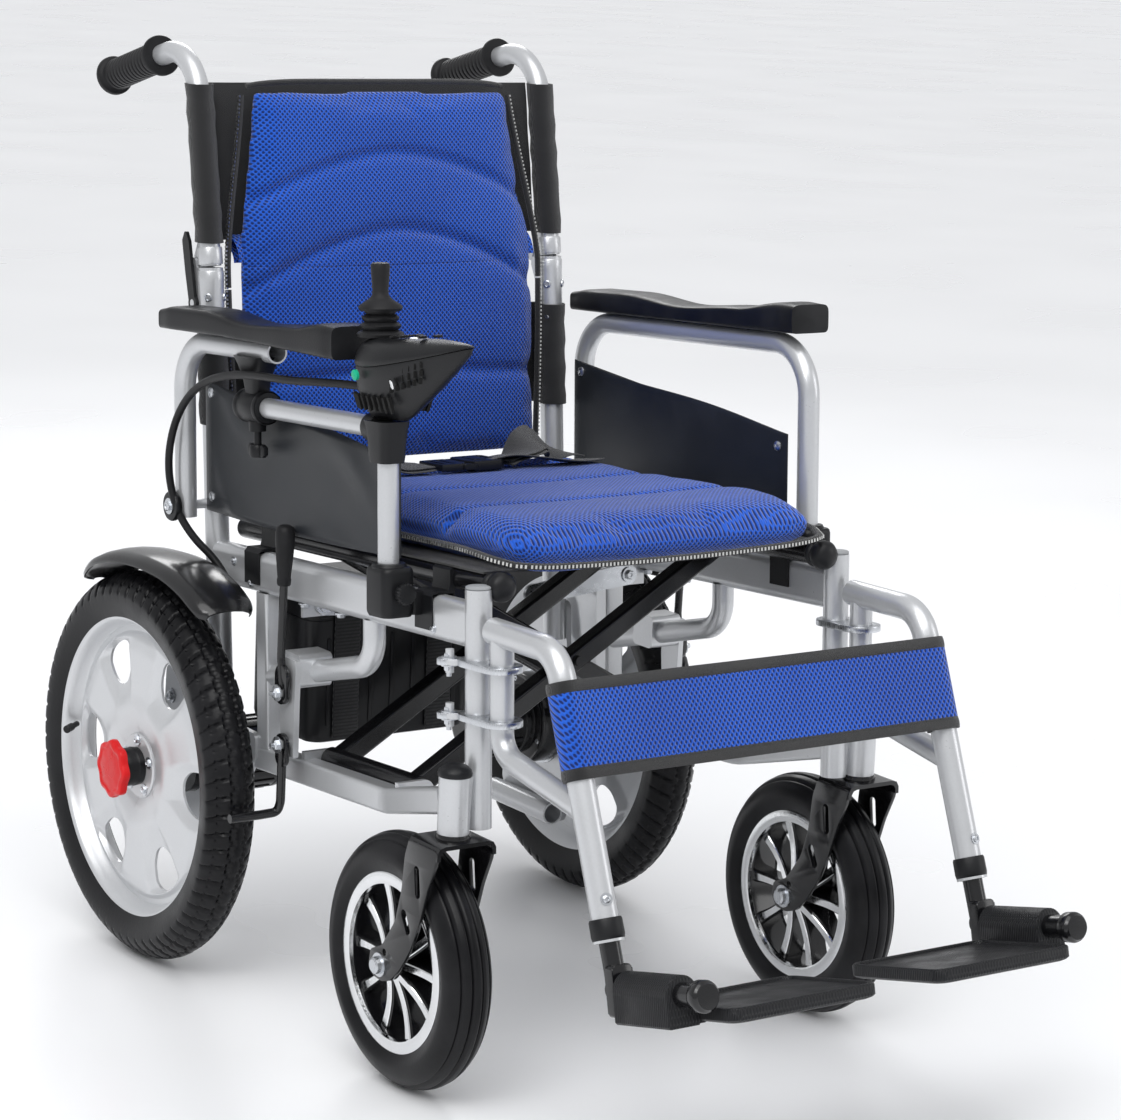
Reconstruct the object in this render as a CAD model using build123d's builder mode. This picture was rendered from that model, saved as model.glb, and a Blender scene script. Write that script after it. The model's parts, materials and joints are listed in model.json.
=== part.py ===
from build123d import *
from math import atan2, cos, degrees, hypot, pi, radians, sin, sqrt, tan
import os

# A folding power wheelchair. +Z is up, the chair faces -Y, and the sitter's right hand is at -X.
# The origin is on the floor, under the middle of the chair. Right-hand pieces are modelled, and
# left-hand ones are mirrored from them.

# ---- Overall sizes
frame_half = 209.0          # from the chair's middle to the side frame's tubes
frame_lean = 3.7            # degrees that the side frames lean back
frame_y = -176.0            # front post, where it meets the upper rail's centre line
frame_z = 452.0
rail_back = 490.0           # length of the upper rail, from the front post to the back post
wheel_base = 466.0
axle_y = 342.5              # rear axle
caster_y = axle_y - wheel_base
running = 0.05              # radial clearance of a pin in its bore
skin = 0.4                  # room between soft pieces and what they lie beside

# ---- Side frame
post_radius = 12.5
tube_wall = 1.8
post_top = 34.0
post_bottom = -188.0
rail_width, rail_height, rail_round = 22.0, 42.0, 9.0
lower_rail_w = -190.0       # the lower rail's height in the leaning frame
lower_rail_width, lower_rail_height = 22.0, 25.0
lower_rail_front, lower_rail_end = 150.0, 452.0
square_post, square_post_u = 22.0, 385.0
drop_tube_radius = 11.0
hinge_z = 720.0             # back fold hinge
back_y = 345.0              # back post's centre line at the hinge
lower_back_lean = 5.45
upper_back_lean = 10.2
back_foot_z = 300.0

# ---- Cross frame
bar_width = 20.0
seat_rail_radius = 11.0
centre_pin_half = 25.0      # the scissor's centre bolt, each side of its middle
pivot_x, pivot_w = 184.0, -180.0
seat_rail_x, seat_rail_w = 188.0, 35.0
seat_rail_start, seat_rail_end = 8.0, 470.0
scissors = (163.0, 284.0)   # where the two scissors stand along the frame
bar_gap = 2.0               # between the two bars of one scissor
sleeve_radius, pivot_pin_radius, centre_pin_radius = 12.0, 6.0, 5.0
fold_angle = 34.0
link_reach = 287.4          # along the bar from its lower pivot to the link's free end
link_w, link_u, link_thick, link_half = -25.0, 316.0, 4.0, 11.0

# ---- Wheels
tyre_radius, tyre_width, wheel_x = 203.0, 57.0, 274.5
rim_radius, rim_width = 158.0, 42.0
hub_radius, axle_radius = 34.0, 10.0
motor_radius, motor_reach = 50.0, 95.0
caster_radius, caster_width, caster_x = 122.75, 50.0, 239.0
caster_rim_radius, caster_rim_width = 84.0, 34.0
caster_trail = 68.5
caster_hub_radius, caster_axle_radius = 17.0, 6.0
head_radius, head_bottom, head_top = 15.0, 261.0, 319.0
stem_radius = 8.0
fork_half, fork_plate = 32.0, 4.0

# ---- Armrests
arm_x = 247.0
arm_radius = 11.0
arm_front_u, arm_pivot_u, arm_pivot_w = 95.0, 490.0, 60.0
socket_slot = 5.0           # extra length of the socket's bore toward the front
pad_under = 241.0
pad_half, pad_x, pad_end = 24.0, 252.0, 494.0
pad_start_right, pad_start_left = 148.0, 100.0    # the controller stands in front of the right pad
panel_thick, panel_x = 4.0, 226.0

# ---- Legrests
hanger_u, hanger_radius = -39.3, 12.0
leg_top = (-304.0, 455.0)   # y and z where the upper tube's line meets the down tube's
leg_foot = (-396.0, 230.0)  # y and z of the down tube's lower end
foot_tube_radius = 9.5
foot_tilt = 14.0
foot_z = 178.0
plate_width, plate_depth, plate_thick = 160.0, 128.0, 14.0

# ---- Upholstery
seat_half, seat_start, seat_end = 194.0, -22.0, 444.0
seat_bottom, seat_thick = 47.0, 45.0
back_half_low, back_half_top = 192.0, 163.0
back_thick = 34.0
back_bottom_z, back_top_z = 502.0, 906.0

lean = radians(frame_lean)
along = Vector(0, cos(lean), -sin(lean))
square = Vector(0, sin(lean), cos(lean))


def at(x, u, w):
    """A point of the leaning side frame: u runs back along the rail and w stands square to it."""
    return Vector(x, frame_y, frame_z) + along * u + square * w


def side_plane(x):
    """The leaning frame's own drawing plane, with u to the right and w up."""
    return Plane(origin=at(x, 0, 0), x_dir=along, z_dir=(1, 0, 0))


def upright_plane(x):
    return Plane(origin=(x, 0, 0), x_dir=(0, 1, 0), z_dir=(1, 0, 0))


def tube(points, radius, bend=0, wall=tube_wall):
    """A round tube along straight runs, with every corner bent to one radius."""
    with BuildPart() as piece:
        with BuildLine() as path:
            if bend:
                FilletPolyline(*points, radius=bend)
            else:
                Polyline(*points)
        with BuildSketch(Plane(origin=path.line @ 0, z_dir=path.line % 0)):
            Circle(radius)
            if wall:
                Circle(radius - wall, mode=Mode.SUBTRACT)
        sweep()
    return piece.part


def rod(start, end, radius):
    return tube((start, end), radius, wall=0)


def across(x_low, x_high, y, z, radius):
    """A round bar that runs across the chair."""
    return rod((x_low, y, z), (x_high, y, z), radius)


def save(part, name):
    part.label = name
    export_step(part, f"parts/{name}.step")


def save_pair(part, name):
    with BuildPart() as twin:
        mirror(part, about=Plane.YZ)
    save(part, f"right_{name}")
    save(twin.part, f"left_{name}")


def back_line(z):
    """The back post's centre line in y, below and above the fold hinge."""
    slope = lower_back_lean if z < hinge_z else upper_back_lean
    return back_y + (z - hinge_z) * tan(radians(slope))


bar_length = hypot(seat_rail_w - pivot_w, seat_rail_x + pivot_x)


def bar_point(reach):
    """A point on a cross bar, as x and w measured from its own lower pivot at the right."""
    share = reach / bar_length
    return -pivot_x + share * (seat_rail_x + pivot_x), pivot_w + share * (seat_rail_w - pivot_w)


# ---- Side frame --------------------------------------------------------------------------------

def rail_piece():
    with BuildPart() as rail:
        with BuildSketch(Plane(origin=at(-frame_half, 6, 0), x_dir=(1, 0, 0), z_dir=along)):
            RectangleRounded(rail_width, rail_height, rail_round)
            RectangleRounded(rail_width - 2 * tube_wall, rail_height - 2 * tube_wall,
                             rail_round - tube_wall, mode=Mode.SUBTRACT)
        extrude(amount=rail_back - 12)
    return rail.part


def lower_rail_piece():
    head_y = caster_y - caster_trail
    points = (
        at(-frame_half, lower_rail_end, lower_rail_w),
        at(-frame_half, lower_rail_front, lower_rail_w),
        (-caster_x + 2, head_y + 12, (head_bottom + head_top) / 2 + 2),
    )
    with BuildPart() as rail:
        with BuildLine() as path:
            FilletPolyline(*points, radius=70)
        with BuildSketch(Plane(origin=path.line @ 0, x_dir=(1, 0, 0), z_dir=path.line % 0)):
            RectangleRounded(lower_rail_width, lower_rail_height, 4)
            RectangleRounded(lower_rail_width - 2 * tube_wall, lower_rail_height - 2 * tube_wall,
                             4 - tube_wall, mode=Mode.SUBTRACT)
        sweep()
    return rail.part


def square_post_piece():
    inner = square_post - 2 * tube_wall
    low = lower_rail_w + lower_rail_height / 2 - 1
    with BuildPart() as post:
        with BuildSketch(Plane(origin=at(-frame_half, square_post_u, low), x_dir=(1, 0, 0),
                               z_dir=square)):
            RectangleRounded(square_post, square_post, 3)
            Rectangle(inner, inner, mode=Mode.SUBTRACT)
        extrude(amount=-low - rail_height / 2 + 1)
    return post.part


motor_plate_thick = 6.0
motor_plate_x = -223.0
stub_z = 104.0


def motor_plate_piece():
    """The plate that carries the motor, the back post's foot and the anti-tip stub."""
    outline = ((205, 262), (205, 236), (262, 150), (292, 92), (398, 92), (410, 118), (398, 290),
               (330, 342), (296, 342), (290, 262))
    with BuildPart() as plate:
        with BuildSketch(upright_plane(motor_plate_x)) as profile:
            Polygon(*outline, align=None)
            fillet(profile.vertices(), 8)
            with Locations((axle_y, tyre_radius)):
                Circle(hub_radius, mode=Mode.SUBTRACT)
        extrude(amount=motor_plate_thick)
    return plate.part


lug_thick = 6.0
sleeve_start, sleeve_end = scissors[0] - 24.0, scissors[1] + 24.0


def lug_piece(u):
    """A lug that holds one end of the lower pivot pin on the lower rail."""
    with BuildPart() as lug:
        with BuildSketch(Plane(origin=at(0, u, 0), x_dir=(1, 0, 0), z_dir=-along)):
            with Locations((-(pivot_x + frame_half) / 2 - 2, pivot_w)):
                Rectangle(frame_half - pivot_x + 6, 20)
            with Locations((-pivot_x, pivot_w)):
                Circle(10)
        extrude(amount=-lug_thick)
    return lug.part


def link_bracket_piece():
    plate_u = link_u + link_thick + 1
    with BuildPart() as bracket:
        with BuildSketch(Plane(origin=at(0, plate_u, 0), x_dir=(1, 0, 0), z_dir=-along)):
            with Locations((-(pivot_x + frame_half) / 2 + 1, link_w)):
                Rectangle(frame_half - pivot_x, 24)
            with Locations((-pivot_x, link_w)):
                Circle(12)
        extrude(amount=-4)
    return bracket.part


ear_thick, ear_gap = 3.0, 7.5
knuckle_radius, knuckle_pin = 7.0, 4.0
knuckle_back = 20.0
lever_back, lever_drop, lever_thick = 8.0, 38.0, 3.5


def hinge_ears():
    """Two ears behind the back post's top, which hold the fold hinge's pin."""
    ears = []
    for x in (-frame_half - ear_gap - ear_thick, -frame_half + ear_gap):
        with BuildPart() as ear:
            with BuildSketch(upright_plane(x)) as profile:
                y = back_y + knuckle_back
                Polygon((back_y + 3, hinge_z - 4), (y, hinge_z + 3), (y, hinge_z - 12),
                        (back_y + 6, hinge_z - 38), (back_y - 2, hinge_z - 38), align=None)
                with Locations((y, hinge_z)):
                    Circle(knuckle_radius + 1)
            extrude(amount=ear_thick)
        ears.append(ear.part)
    return ears


def make_side_frame():
    foot = (-frame_half, back_line(back_foot_z), back_foot_z)
    neck = (-frame_half, back_line(hinge_z - 1), hinge_z - 1)
    head_y = caster_y - caster_trail
    half_pin = ear_gap + ear_thick
    y_pin = back_y + knuckle_back
    drop = (at(-frame_half, 183, -rail_height / 2 + 2), at(-frame_half, 183, -64),
            at(-frame_half, square_post_u - 6, -104))
    link_plate_u = link_u + link_thick + 1
    pieces = [
        tube((at(-frame_half, 0, post_bottom), at(-frame_half, 0, post_top)), post_radius),
        rail_piece(),
        lower_rail_piece(),
        square_post_piece(),
        tube(drop, drop_tube_radius, bend=32),
        tube((foot, neck), post_radius),
        tube(((-frame_half + 4, 289, stub_z), (-frame_half + 4, 408, stub_z)), post_radius),
        motor_plate_piece(),
        lug_piece(sleeve_start - 1 - lug_thick),
        lug_piece(sleeve_end + 1),
        rod(at(-pivot_x, sleeve_start - 6, pivot_w), at(-pivot_x, sleeve_end + 6, pivot_w),
            pivot_pin_radius),
        link_bracket_piece(),
        rod(at(-pivot_x, link_u - 3, link_w), at(-pivot_x, link_plate_u + 2, link_w), 5),
        across(-frame_half - half_pin - 1, -frame_half + half_pin + 1, y_pin, hinge_z,
               knuckle_pin),
        across(-arm_x - 12, -frame_half, arm_pivot().Y, arm_pivot().Z, 5),
        across(-frame_half - post_radius - lever_thick - 0.7, -frame_half, back_y + lever_back,
               hinge_z - lever_drop, 4),
        make_clamp_plates(),
        make_brake_mount(),
    ] + hinge_ears()
    with BuildPart() as side_frame:
        add(pieces)
        with BuildSketch(Plane.XY.offset(head_bottom)):
            with Locations((-caster_x, head_y)):
                Circle(head_radius)
        extrude(amount=head_top - head_bottom)
        with BuildSketch(Plane.XY.offset(head_bottom + 4)):
            with Locations((-(caster_x + frame_half) / 2, head_y + 3)):
                Rectangle(caster_x - frame_half, 6)
        extrude(amount=head_top - head_bottom - 8)
        with BuildSketch(Plane.XY.offset(head_bottom)):
            with Locations((-caster_x, head_y)):
                Circle(stem_radius + running)
        extrude(amount=44, mode=Mode.SUBTRACT)
    return side_frame.part


def arm_pivot():
    return at(-arm_x, arm_pivot_u, arm_pivot_w)


def make_motor():
    """Gearbox and motor behind the rear wheel, with the output shaft that carries the wheel."""
    inner = motor_plate_x + motor_plate_thick
    with BuildPart() as motor:
        with BuildSketch(upright_plane(inner)):
            with Locations((axle_y, tyre_radius)):
                Circle(motor_radius)
        extrude(amount=28)
        with BuildSketch(upright_plane(inner + 28)):
            with Locations((axle_y, tyre_radius)):
                Circle(motor_radius - 12)
        extrude(amount=motor_reach - 28)
        fillet(motor.edges().filter_by(GeomType.CIRCLE).sort_by(Axis.X)[-1], 8)
        with BuildSketch(upright_plane(-wheel_x - 26)):
            with Locations((axle_y, tyre_radius)):
                Circle(axle_radius)
        extrude(amount=wheel_x + 26 + inner + 1)
        with BuildSketch(upright_plane(motor_plate_x - 10)):
            with Locations((axle_y, tyre_radius)):
                Circle(hub_radius - 0.5)
        extrude(amount=17)
    return motor.part


def make_fender():
    """A mudguard that follows the tyre's top, on a strap from the rail."""
    low, high = radians(38), radians(124)
    inner, thick = tyre_radius + 17, 3.5
    x_out, x_in = -wheel_x - 31, -wheel_x + 38

    def ring(radius, angle):
        return axle_y + radius * cos(angle), tyre_radius + radius * sin(angle)

    middle = (low + high) / 2
    outer = inner + thick
    with BuildPart() as fender:
        with BuildSketch(upright_plane(x_out)):
            with BuildLine():
                ThreePointArc(ring(inner, low), ring(inner, middle), ring(inner, high))
                Line(ring(inner, high), ring(outer, high))
                ThreePointArc(ring(outer, high), ring(outer, middle), ring(outer, low))
                Line(ring(outer, low), ring(inner, low))
            make_face()
        extrude(amount=x_in - x_out)
        for x in (x_out, x_in - thick):
            with BuildSketch(upright_plane(x)):
                with BuildLine():
                    ThreePointArc(ring(inner - 9, low), ring(inner - 9, middle),
                                  ring(inner - 9, high))
                    Line(ring(inner - 9, high), ring(inner + 1, high))
                    ThreePointArc(ring(inner + 1, high), ring(inner + 1, middle),
                                  ring(inner + 1, low))
                    Line(ring(inner + 1, low), ring(inner - 9, low))
                make_face()
            extrude(amount=thick)
    return fender.part


def make_arm_socket():
    """The block on the upper rail that the armrest's front leg drops into.

    Its bore is a slot, because the leg's end swings forward as the armrest turns up.
    """
    low, high = 0.0, 46.0
    block_width = 34.0
    with BuildPart() as socket:
        with BuildSketch(Plane(origin=at(-arm_x, arm_front_u, low), x_dir=(1, 0, 0), z_dir=square)):
            with Locations((0, -socket_slot / 2)):
                RectangleRounded(block_width, block_width + socket_slot, 8)
        extrude(amount=high)
        with BuildSketch(Plane(origin=at(-arm_x, arm_front_u, low), x_dir=(1, 0, 0), z_dir=square)):
            with Locations((20, 0)):
                Rectangle(13, 26)
        extrude(amount=22)
        with BuildSketch(Plane(origin=at(-arm_x, arm_front_u, 12), x_dir=(1, 0, 0), z_dir=square)):
            with Locations(Location((0, -socket_slot / 2), 90)):
                SlotOverall(2 * arm_radius + 1 + socket_slot, 2 * arm_radius + 1)
        extrude(amount=high, mode=Mode.SUBTRACT)
        with BuildSketch(Plane(origin=at(-arm_x, arm_front_u - block_width / 2 - socket_slot, 24),
                               z_dir=-along)):
            Circle(9)
        extrude(amount=12)
    return socket.part


# ---- Cross frame -------------------------------------------------------------------------------

def bar_section(start, end):
    """The plane of a cross bar's end, with the bar's run as its normal."""
    return Plane(origin=start, x_dir=along, z_dir=(end - start).normalized())


def make_cross_bar(side, stations, centre_radius, centre_mode):
    """One half of the scissors: square tubes from the pivot sleeve up to the seat rail."""
    centre_x, centre_w = bar_point(bar_length * pivot_x / (seat_rail_x + pivot_x))
    low_x, high_x = -side * pivot_x, side * seat_rail_x
    with BuildPart() as frame:
        for u in stations:
            start, end = at(low_x, u, pivot_w), at(high_x, u, seat_rail_w)
            with BuildSketch(bar_section(start, end)):
                RectangleRounded(bar_width, bar_width, 3)
            extrude(amount=bar_length)
        with BuildSketch(Plane(origin=at(low_x, sleeve_start, pivot_w), z_dir=along)):
            Circle(sleeve_radius)
        extrude(amount=sleeve_end - sleeve_start)
        with BuildSketch(Plane(origin=at(high_x, seat_rail_start, seat_rail_w), z_dir=along)):
            Circle(seat_rail_radius)
        extrude(amount=seat_rail_end - seat_rail_start)
        for u in stations:
            start, end = at(low_x, u, pivot_w), at(high_x, u, seat_rail_w)
            with BuildSketch(bar_section(start, end).offset(sleeve_radius + 2)):
                RectangleRounded(bar_width - 2 * tube_wall, bar_width - 2 * tube_wall, 1.2)
            extrude(amount=bar_length - sleeve_radius - seat_rail_radius - 4, mode=Mode.SUBTRACT)
        with BuildSketch(Plane(origin=at(low_x, sleeve_start, pivot_w), z_dir=along)):
            Circle(pivot_pin_radius + running)
        extrude(amount=sleeve_end - sleeve_start, mode=Mode.SUBTRACT)
        with BuildSketch(Plane(origin=at(high_x, seat_rail_start, seat_rail_w), z_dir=along)):
            Circle(seat_rail_radius - tube_wall)
        extrude(amount=seat_rail_end - seat_rail_start, mode=Mode.SUBTRACT)
        for u in scissors:
            with BuildSketch(Plane(origin=at(centre_x, u - centre_pin_half, centre_w), z_dir=along)):
                Circle(centre_radius)
            extrude(amount=2 * centre_pin_half, mode=centre_mode)
    return frame.part


def make_cross_bars():
    """Two crossed frames. Frame A climbs from the right pivot, frame B from the left one."""
    half = (bar_width + bar_gap) / 2
    outer = (scissors[0] - half, scissors[1] + half)
    inner = (scissors[0] + half, scissors[1] - half)
    return (make_cross_bar(1, outer, centre_pin_radius, Mode.ADD),
            make_cross_bar(-1, inner, centre_pin_radius + running, Mode.SUBTRACT))


def make_link():
    """The flat strap between the upper rail's bracket and the cross bar that comes from afar."""
    free_x, free_w = bar_point(link_reach)
    with BuildPart() as link:
        with BuildSketch(Plane(origin=at(0, link_u, 0), x_dir=(1, 0, 0), z_dir=-along)):
            with BuildLine() as line:
                Line((-pivot_x, link_w), (-free_x, free_w))
            slot_between(line.line, link_half)
            with Locations((-pivot_x, link_w)):
                Circle(5 + running, mode=Mode.SUBTRACT)
        extrude(amount=-link_thick)
    return link.part


def slot_between(line, half):
    start, end = line @ 0, line @ 1
    middle = (start + end) / 2
    span = (end - start).length + 2 * half
    turn = degrees(atan2((end - start).Y, (end - start).X))
    with Locations(Location((middle.X, middle.Y), turn)):
        SlotOverall(span, 2 * half)


# ---- Wheels ------------------------------------------------------------------------------------

def wheel_plane(x, y, z):
    return Plane(origin=(x, y, z), x_dir=(0, 1, 0), z_dir=(1, 0, 0))


def lathe_plane(y, z):
    """Profiles drawn here have the wheel's axle as their first axis and radius as the second."""
    return Plane(origin=(0, y, z), x_dir=(1, 0, 0), z_dir=(0, -1, 0))


def make_tyre(x, y, radius, width, seat_radius, seat_width):
    """A tyre with a rounded crown, seated on its rim."""
    half = width / 2
    with BuildPart() as tyre:
        with BuildSketch(lathe_plane(y, radius)):
            with BuildLine():
                Line((x - seat_width / 2, seat_radius), (x + seat_width / 2, seat_radius))
                Line((x + seat_width / 2, seat_radius), (x + half, radius - half + 4))
                ThreePointArc((x + half, radius - half + 4), (x, radius), (x - half, radius - half + 4))
                Line((x - half, radius - half + 4), (x - seat_width / 2, seat_radius))
            make_face()
        revolve(axis=Axis((x, y, radius), (1, 0, 0)))
    return tyre.part


def make_rear_rim():
    x, y, z = -wheel_x, axle_y, tyre_radius
    half = rim_width / 2
    disc_x = x - 6
    with BuildPart() as rim:
        with BuildSketch(lathe_plane(y, z)):
            with BuildLine():
                Polyline((x - half, rim_radius), (x + half, rim_radius), (x + half, rim_radius - 5),
                         (x + half - 8, rim_radius - 12), (disc_x + 4, rim_radius - 14),
                         (disc_x + 4, hub_radius + 6), (disc_x + 14, hub_radius - 4),
                         (disc_x + 14, axle_radius + 2), (disc_x - 13, axle_radius + 2),
                         (disc_x - 13, hub_radius - 8), (disc_x - 2, hub_radius + 4),
                         (disc_x - 2, rim_radius - 14), (x - half + 8, rim_radius - 12),
                         (x - half, rim_radius - 5), close=True)
            make_face()
        revolve(axis=Axis((x, y, z), (1, 0, 0)))
        with BuildSketch(wheel_plane(disc_x - 20, y, z)):
            with PolarLocations(104, 6, start_angle=30):
                Ellipse(28, 17)
        extrude(amount=40, mode=Mode.SUBTRACT)
        with BuildSketch(wheel_plane(disc_x - 20, y, z)):
            Circle(axle_radius + running)
        extrude(amount=60, mode=Mode.SUBTRACT)
    return rim.part


def make_clutch_knob():
    """The red lobed cap on its black neck, which frees the wheel from the motor."""
    x = -wheel_x - 26.5
    with BuildPart() as knob:
        with BuildSketch(wheel_plane(x - 16, axle_y, tyre_radius)):
            Circle(23)
            with PolarLocations(22, 6):
                Circle(8)
        extrude(amount=16)
        fillet(knob.faces().sort_by(Axis.X)[0].edges(), 3)
    return knob.part


def make_caster_fork():
    """A bent steel strap: a crown on the swivel stem, and two legs that trail to the axle."""
    head_y = caster_y - caster_trail
    crown_z = head_bottom - 1
    leg = ((head_y - 24, crown_z), (head_y + 22, crown_z), (head_y + 27, crown_z - 60),
           (caster_y + 18, caster_radius + 8), (caster_y + 8, caster_radius - 16),
           (caster_y - 14, caster_radius - 14), (head_y + 4, crown_z - 78), (head_y - 20, crown_z - 40))
    with BuildPart() as fork:
        for x in (-caster_x - fork_half, -caster_x + fork_half - fork_plate):
            with BuildSketch(upright_plane(x)) as profile:
                Polygon(*leg, align=None)
                fillet(profile.vertices().sort_by(Axis.Y)[2:], 7)
                with Locations(Location((head_y + 2, crown_z - 28), 84)):
                    SlotOverall(34, 9, mode=Mode.SUBTRACT)
                with Locations(Location((head_y + 28, crown_z - 82), -50)):
                    SlotOverall(26, 8, mode=Mode.SUBTRACT)
            extrude(amount=fork_plate)
        with BuildSketch(Plane.XY.offset(crown_z - fork_plate)):
            with Locations((-caster_x, head_y - 1)):
                Rectangle(2 * fork_half, 46)
        extrude(amount=fork_plate)
        with BuildSketch(Plane.XY.offset(crown_z - 1)):
            with Locations((-caster_x, head_y)):
                Circle(stem_radius)
        extrude(amount=42)
        with BuildSketch(wheel_plane(-caster_x - fork_half - 7, caster_y, caster_radius)):
            Circle(caster_axle_radius)
        extrude(amount=2 * fork_half + 14)
    return fork.part


def make_caster_rim():
    """A cast rim with split spokes, on a hub that turns on the axle."""
    x, y, z = -caster_x, caster_y, caster_radius
    half = caster_rim_width / 2
    with BuildPart() as rim:
        with BuildSketch(lathe_plane(y, z)):
            Polygon((x - half, caster_rim_radius), (x + half, caster_rim_radius),
                    (x + half, caster_rim_radius - 9), (x + 6, caster_rim_radius - 14),
                    (x - 6, caster_rim_radius - 14), (x - half, caster_rim_radius - 9), align=None)
        revolve(axis=Axis((x, y, z), (1, 0, 0)))
        with BuildSketch(wheel_plane(x - fork_half + fork_plate + 1, y, z)):
            Circle(caster_hub_radius)
        extrude(amount=2 * (fork_half - fork_plate - 1))
        with BuildSketch(wheel_plane(x - 8, y, z)):
            for turn in range(5):
                for split in (-15, 15):
                    with Locations(Location((0, 0), turn * 72 + 90)):
                        with Locations(Location((12, 0), split)):
                            with Locations((30, 0)):
                                Rectangle(66, 7)
            Circle(caster_rim_radius - 12, mode=Mode.INTERSECT)
        extrude(amount=16)
        with BuildSketch(wheel_plane(x - 50, y, z)):
            Circle(caster_axle_radius + running)
        extrude(amount=100, mode=Mode.SUBTRACT)
    return rim.part


# ---- Parking brake -----------------------------------------------------------------------------
brake_x = -242.0
brake_u, brake_w = 304.0, -106.0
shoe_x, shoe_z = -272.0, 203.0


def make_brake_lever():
    """A rod with a tapered rubber grip, on a pivot that the drop tube's clamp carries."""
    pivot = at(brake_x, brake_u, brake_w)
    foot = Vector(brake_x, pivot.Y, pivot.Z)
    head = Vector(brake_x, pivot.Y + 2, 445)
    with BuildPart() as lever:
        add(rod(foot, head, 4))
        with BuildSketch(Plane.XY.offset(436)):
            with Locations((brake_x, head.Y)):
                Circle(6.5)
        with BuildSketch(Plane.XY.offset(494)):
            with Locations((brake_x, head.Y)):
                Circle(9.5)
        loft()
        fillet(lever.edges().sort_by(Axis.Z)[-1], 5)
        with BuildSketch(upright_plane(brake_x - 4)):
            with Locations((pivot.Y, pivot.Z)):
                Circle(13)
        extrude(amount=8)
        with BuildSketch(upright_plane(brake_x - 6)):
            with Locations((pivot.Y, pivot.Z)):
                Circle(5 + running)
        extrude(amount=12, mode=Mode.SUBTRACT)
    return lever.part


def shoe_pivot():
    return Vector(brake_x, at(0, brake_u, brake_w).Y - 3, at(0, brake_u, brake_w).Z - 52)


def make_brake_shoe():
    """The arm that carries the friction block in front of the tyre."""
    pivot = shoe_pivot()
    face_y = axle_y - sqrt(tyre_radius ** 2 - 6 ** 2) - 5
    with BuildPart() as shoe:
        with BuildSketch(upright_plane(brake_x - 4)):
            with Locations((pivot.Y, pivot.Z)):
                Circle(11)
            Polygon((pivot.Y - 8, pivot.Z), (pivot.Y + 8, pivot.Z), (face_y - 4, shoe_z - 5),
                    (face_y - 14, shoe_z - 5), align=None)
        extrude(amount=8)
        with BuildSketch(upright_plane(shoe_x - 24)):
            with Locations((face_y - 9, shoe_z)):
                RectangleRounded(12, 14, 3)
        extrude(amount=brake_x + 3 - shoe_x + 24)
        with BuildSketch(upright_plane(brake_x - 6)):
            with Locations((pivot.Y, pivot.Z)):
                Circle(5 + running)
        extrude(amount=12, mode=Mode.SUBTRACT)
    return shoe.part


def make_brake_mount():
    """The clamp on the drop tube, with the pins of the lever and of the shoe."""
    pivot, low = at(brake_x, brake_u, brake_w), shoe_pivot()
    inner = brake_x + 5.5
    block = at(-frame_half, brake_u, brake_w + 22)
    with BuildPart() as mount:
        with BuildSketch(upright_plane(inner + 5)):
            with Locations((block.Y, block.Z)):
                RectangleRounded(34, 34, 6)
        extrude(amount=-frame_half + 14 - inner - 5)
        with BuildSketch(upright_plane(inner)):
            Polygon((pivot.Y - 16, pivot.Z + 34), (pivot.Y + 16, pivot.Z + 34),
                    (pivot.Y + 15, pivot.Z - 8), (low.Y + 12, low.Z - 12),
                    (low.Y - 12, low.Z - 12), (pivot.Y - 15, pivot.Z - 8), align=None)
        extrude(amount=6)
        for centre in (pivot, low):
            with BuildSketch(upright_plane(brake_x - 7)):
                with Locations((centre.Y, centre.Z)):
                    Circle(5)
            extrude(amount=inner - brake_x + 8)
    return mount.part


# ---- Back --------------------------------------------------------------------------------------
upper_post_radius = 11.0
handle_slope = 15.0
handle_corner_z = 946.0
grip_start, grip_length, grip_radius = 76.0, 113.0, 17.0


def handle_points():
    corner = Vector(-frame_half, back_line(handle_corner_z), handle_corner_z)
    out = Vector(0, cos(radians(handle_slope)), -sin(radians(handle_slope)))
    return corner, out


def make_back_post():
    """The folding upper back tube, bent rearwards into the push handle."""
    corner, out = handle_points()
    start = Vector(-frame_half, back_line(hinge_z + 0.5), hinge_z + 0.5)
    y_pin = back_y + knuckle_back
    post_tube = tube((start, corner, corner + out * (grip_start + grip_length - 6)),
                     upper_post_radius, bend=58)
    with BuildPart() as post:
        add(post_tube)
        with BuildSketch(upright_plane(-frame_half - ear_gap + 1)):
            with Locations((y_pin, hinge_z)):
                Circle(knuckle_radius)
            Polygon((back_y + 8, hinge_z + 6), (y_pin, hinge_z - 2), (y_pin + 6, hinge_z + 4),
                    (back_y + 12, hinge_z + 34), align=None)
        extrude(amount=2 * (ear_gap - 1))
        with BuildSketch(upright_plane(-frame_half - 20)):
            with Locations((y_pin, hinge_z)):
                Circle(knuckle_pin + running)
        extrude(amount=40, mode=Mode.SUBTRACT)
    return post.part


def make_grip():
    """A ribbed hand grip with a flange at each end, over the handle's tube."""
    corner, out = handle_points()
    plane = Plane(origin=corner + out * grip_start, x_dir=(1, 0, 0), z_dir=out)
    outline = ((upper_post_radius, 0), (20, 0), (20, 5), (15, 9), (16, 30), (15, 56), (16, 82),
               (15, grip_length - 12), (20, grip_length - 8), (20, grip_length), (0, grip_length),
               (0, grip_length - 5), (upper_post_radius, grip_length - 5))
    with BuildPart() as grip:
        with BuildSketch(Plane(origin=plane.origin, x_dir=(1, 0, 0),
                               z_dir=Vector(1, 0, 0).cross(out))):
            Polygon(*outline, align=None)
        revolve(axis=Axis(plane.origin, out))
    return grip.part


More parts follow.
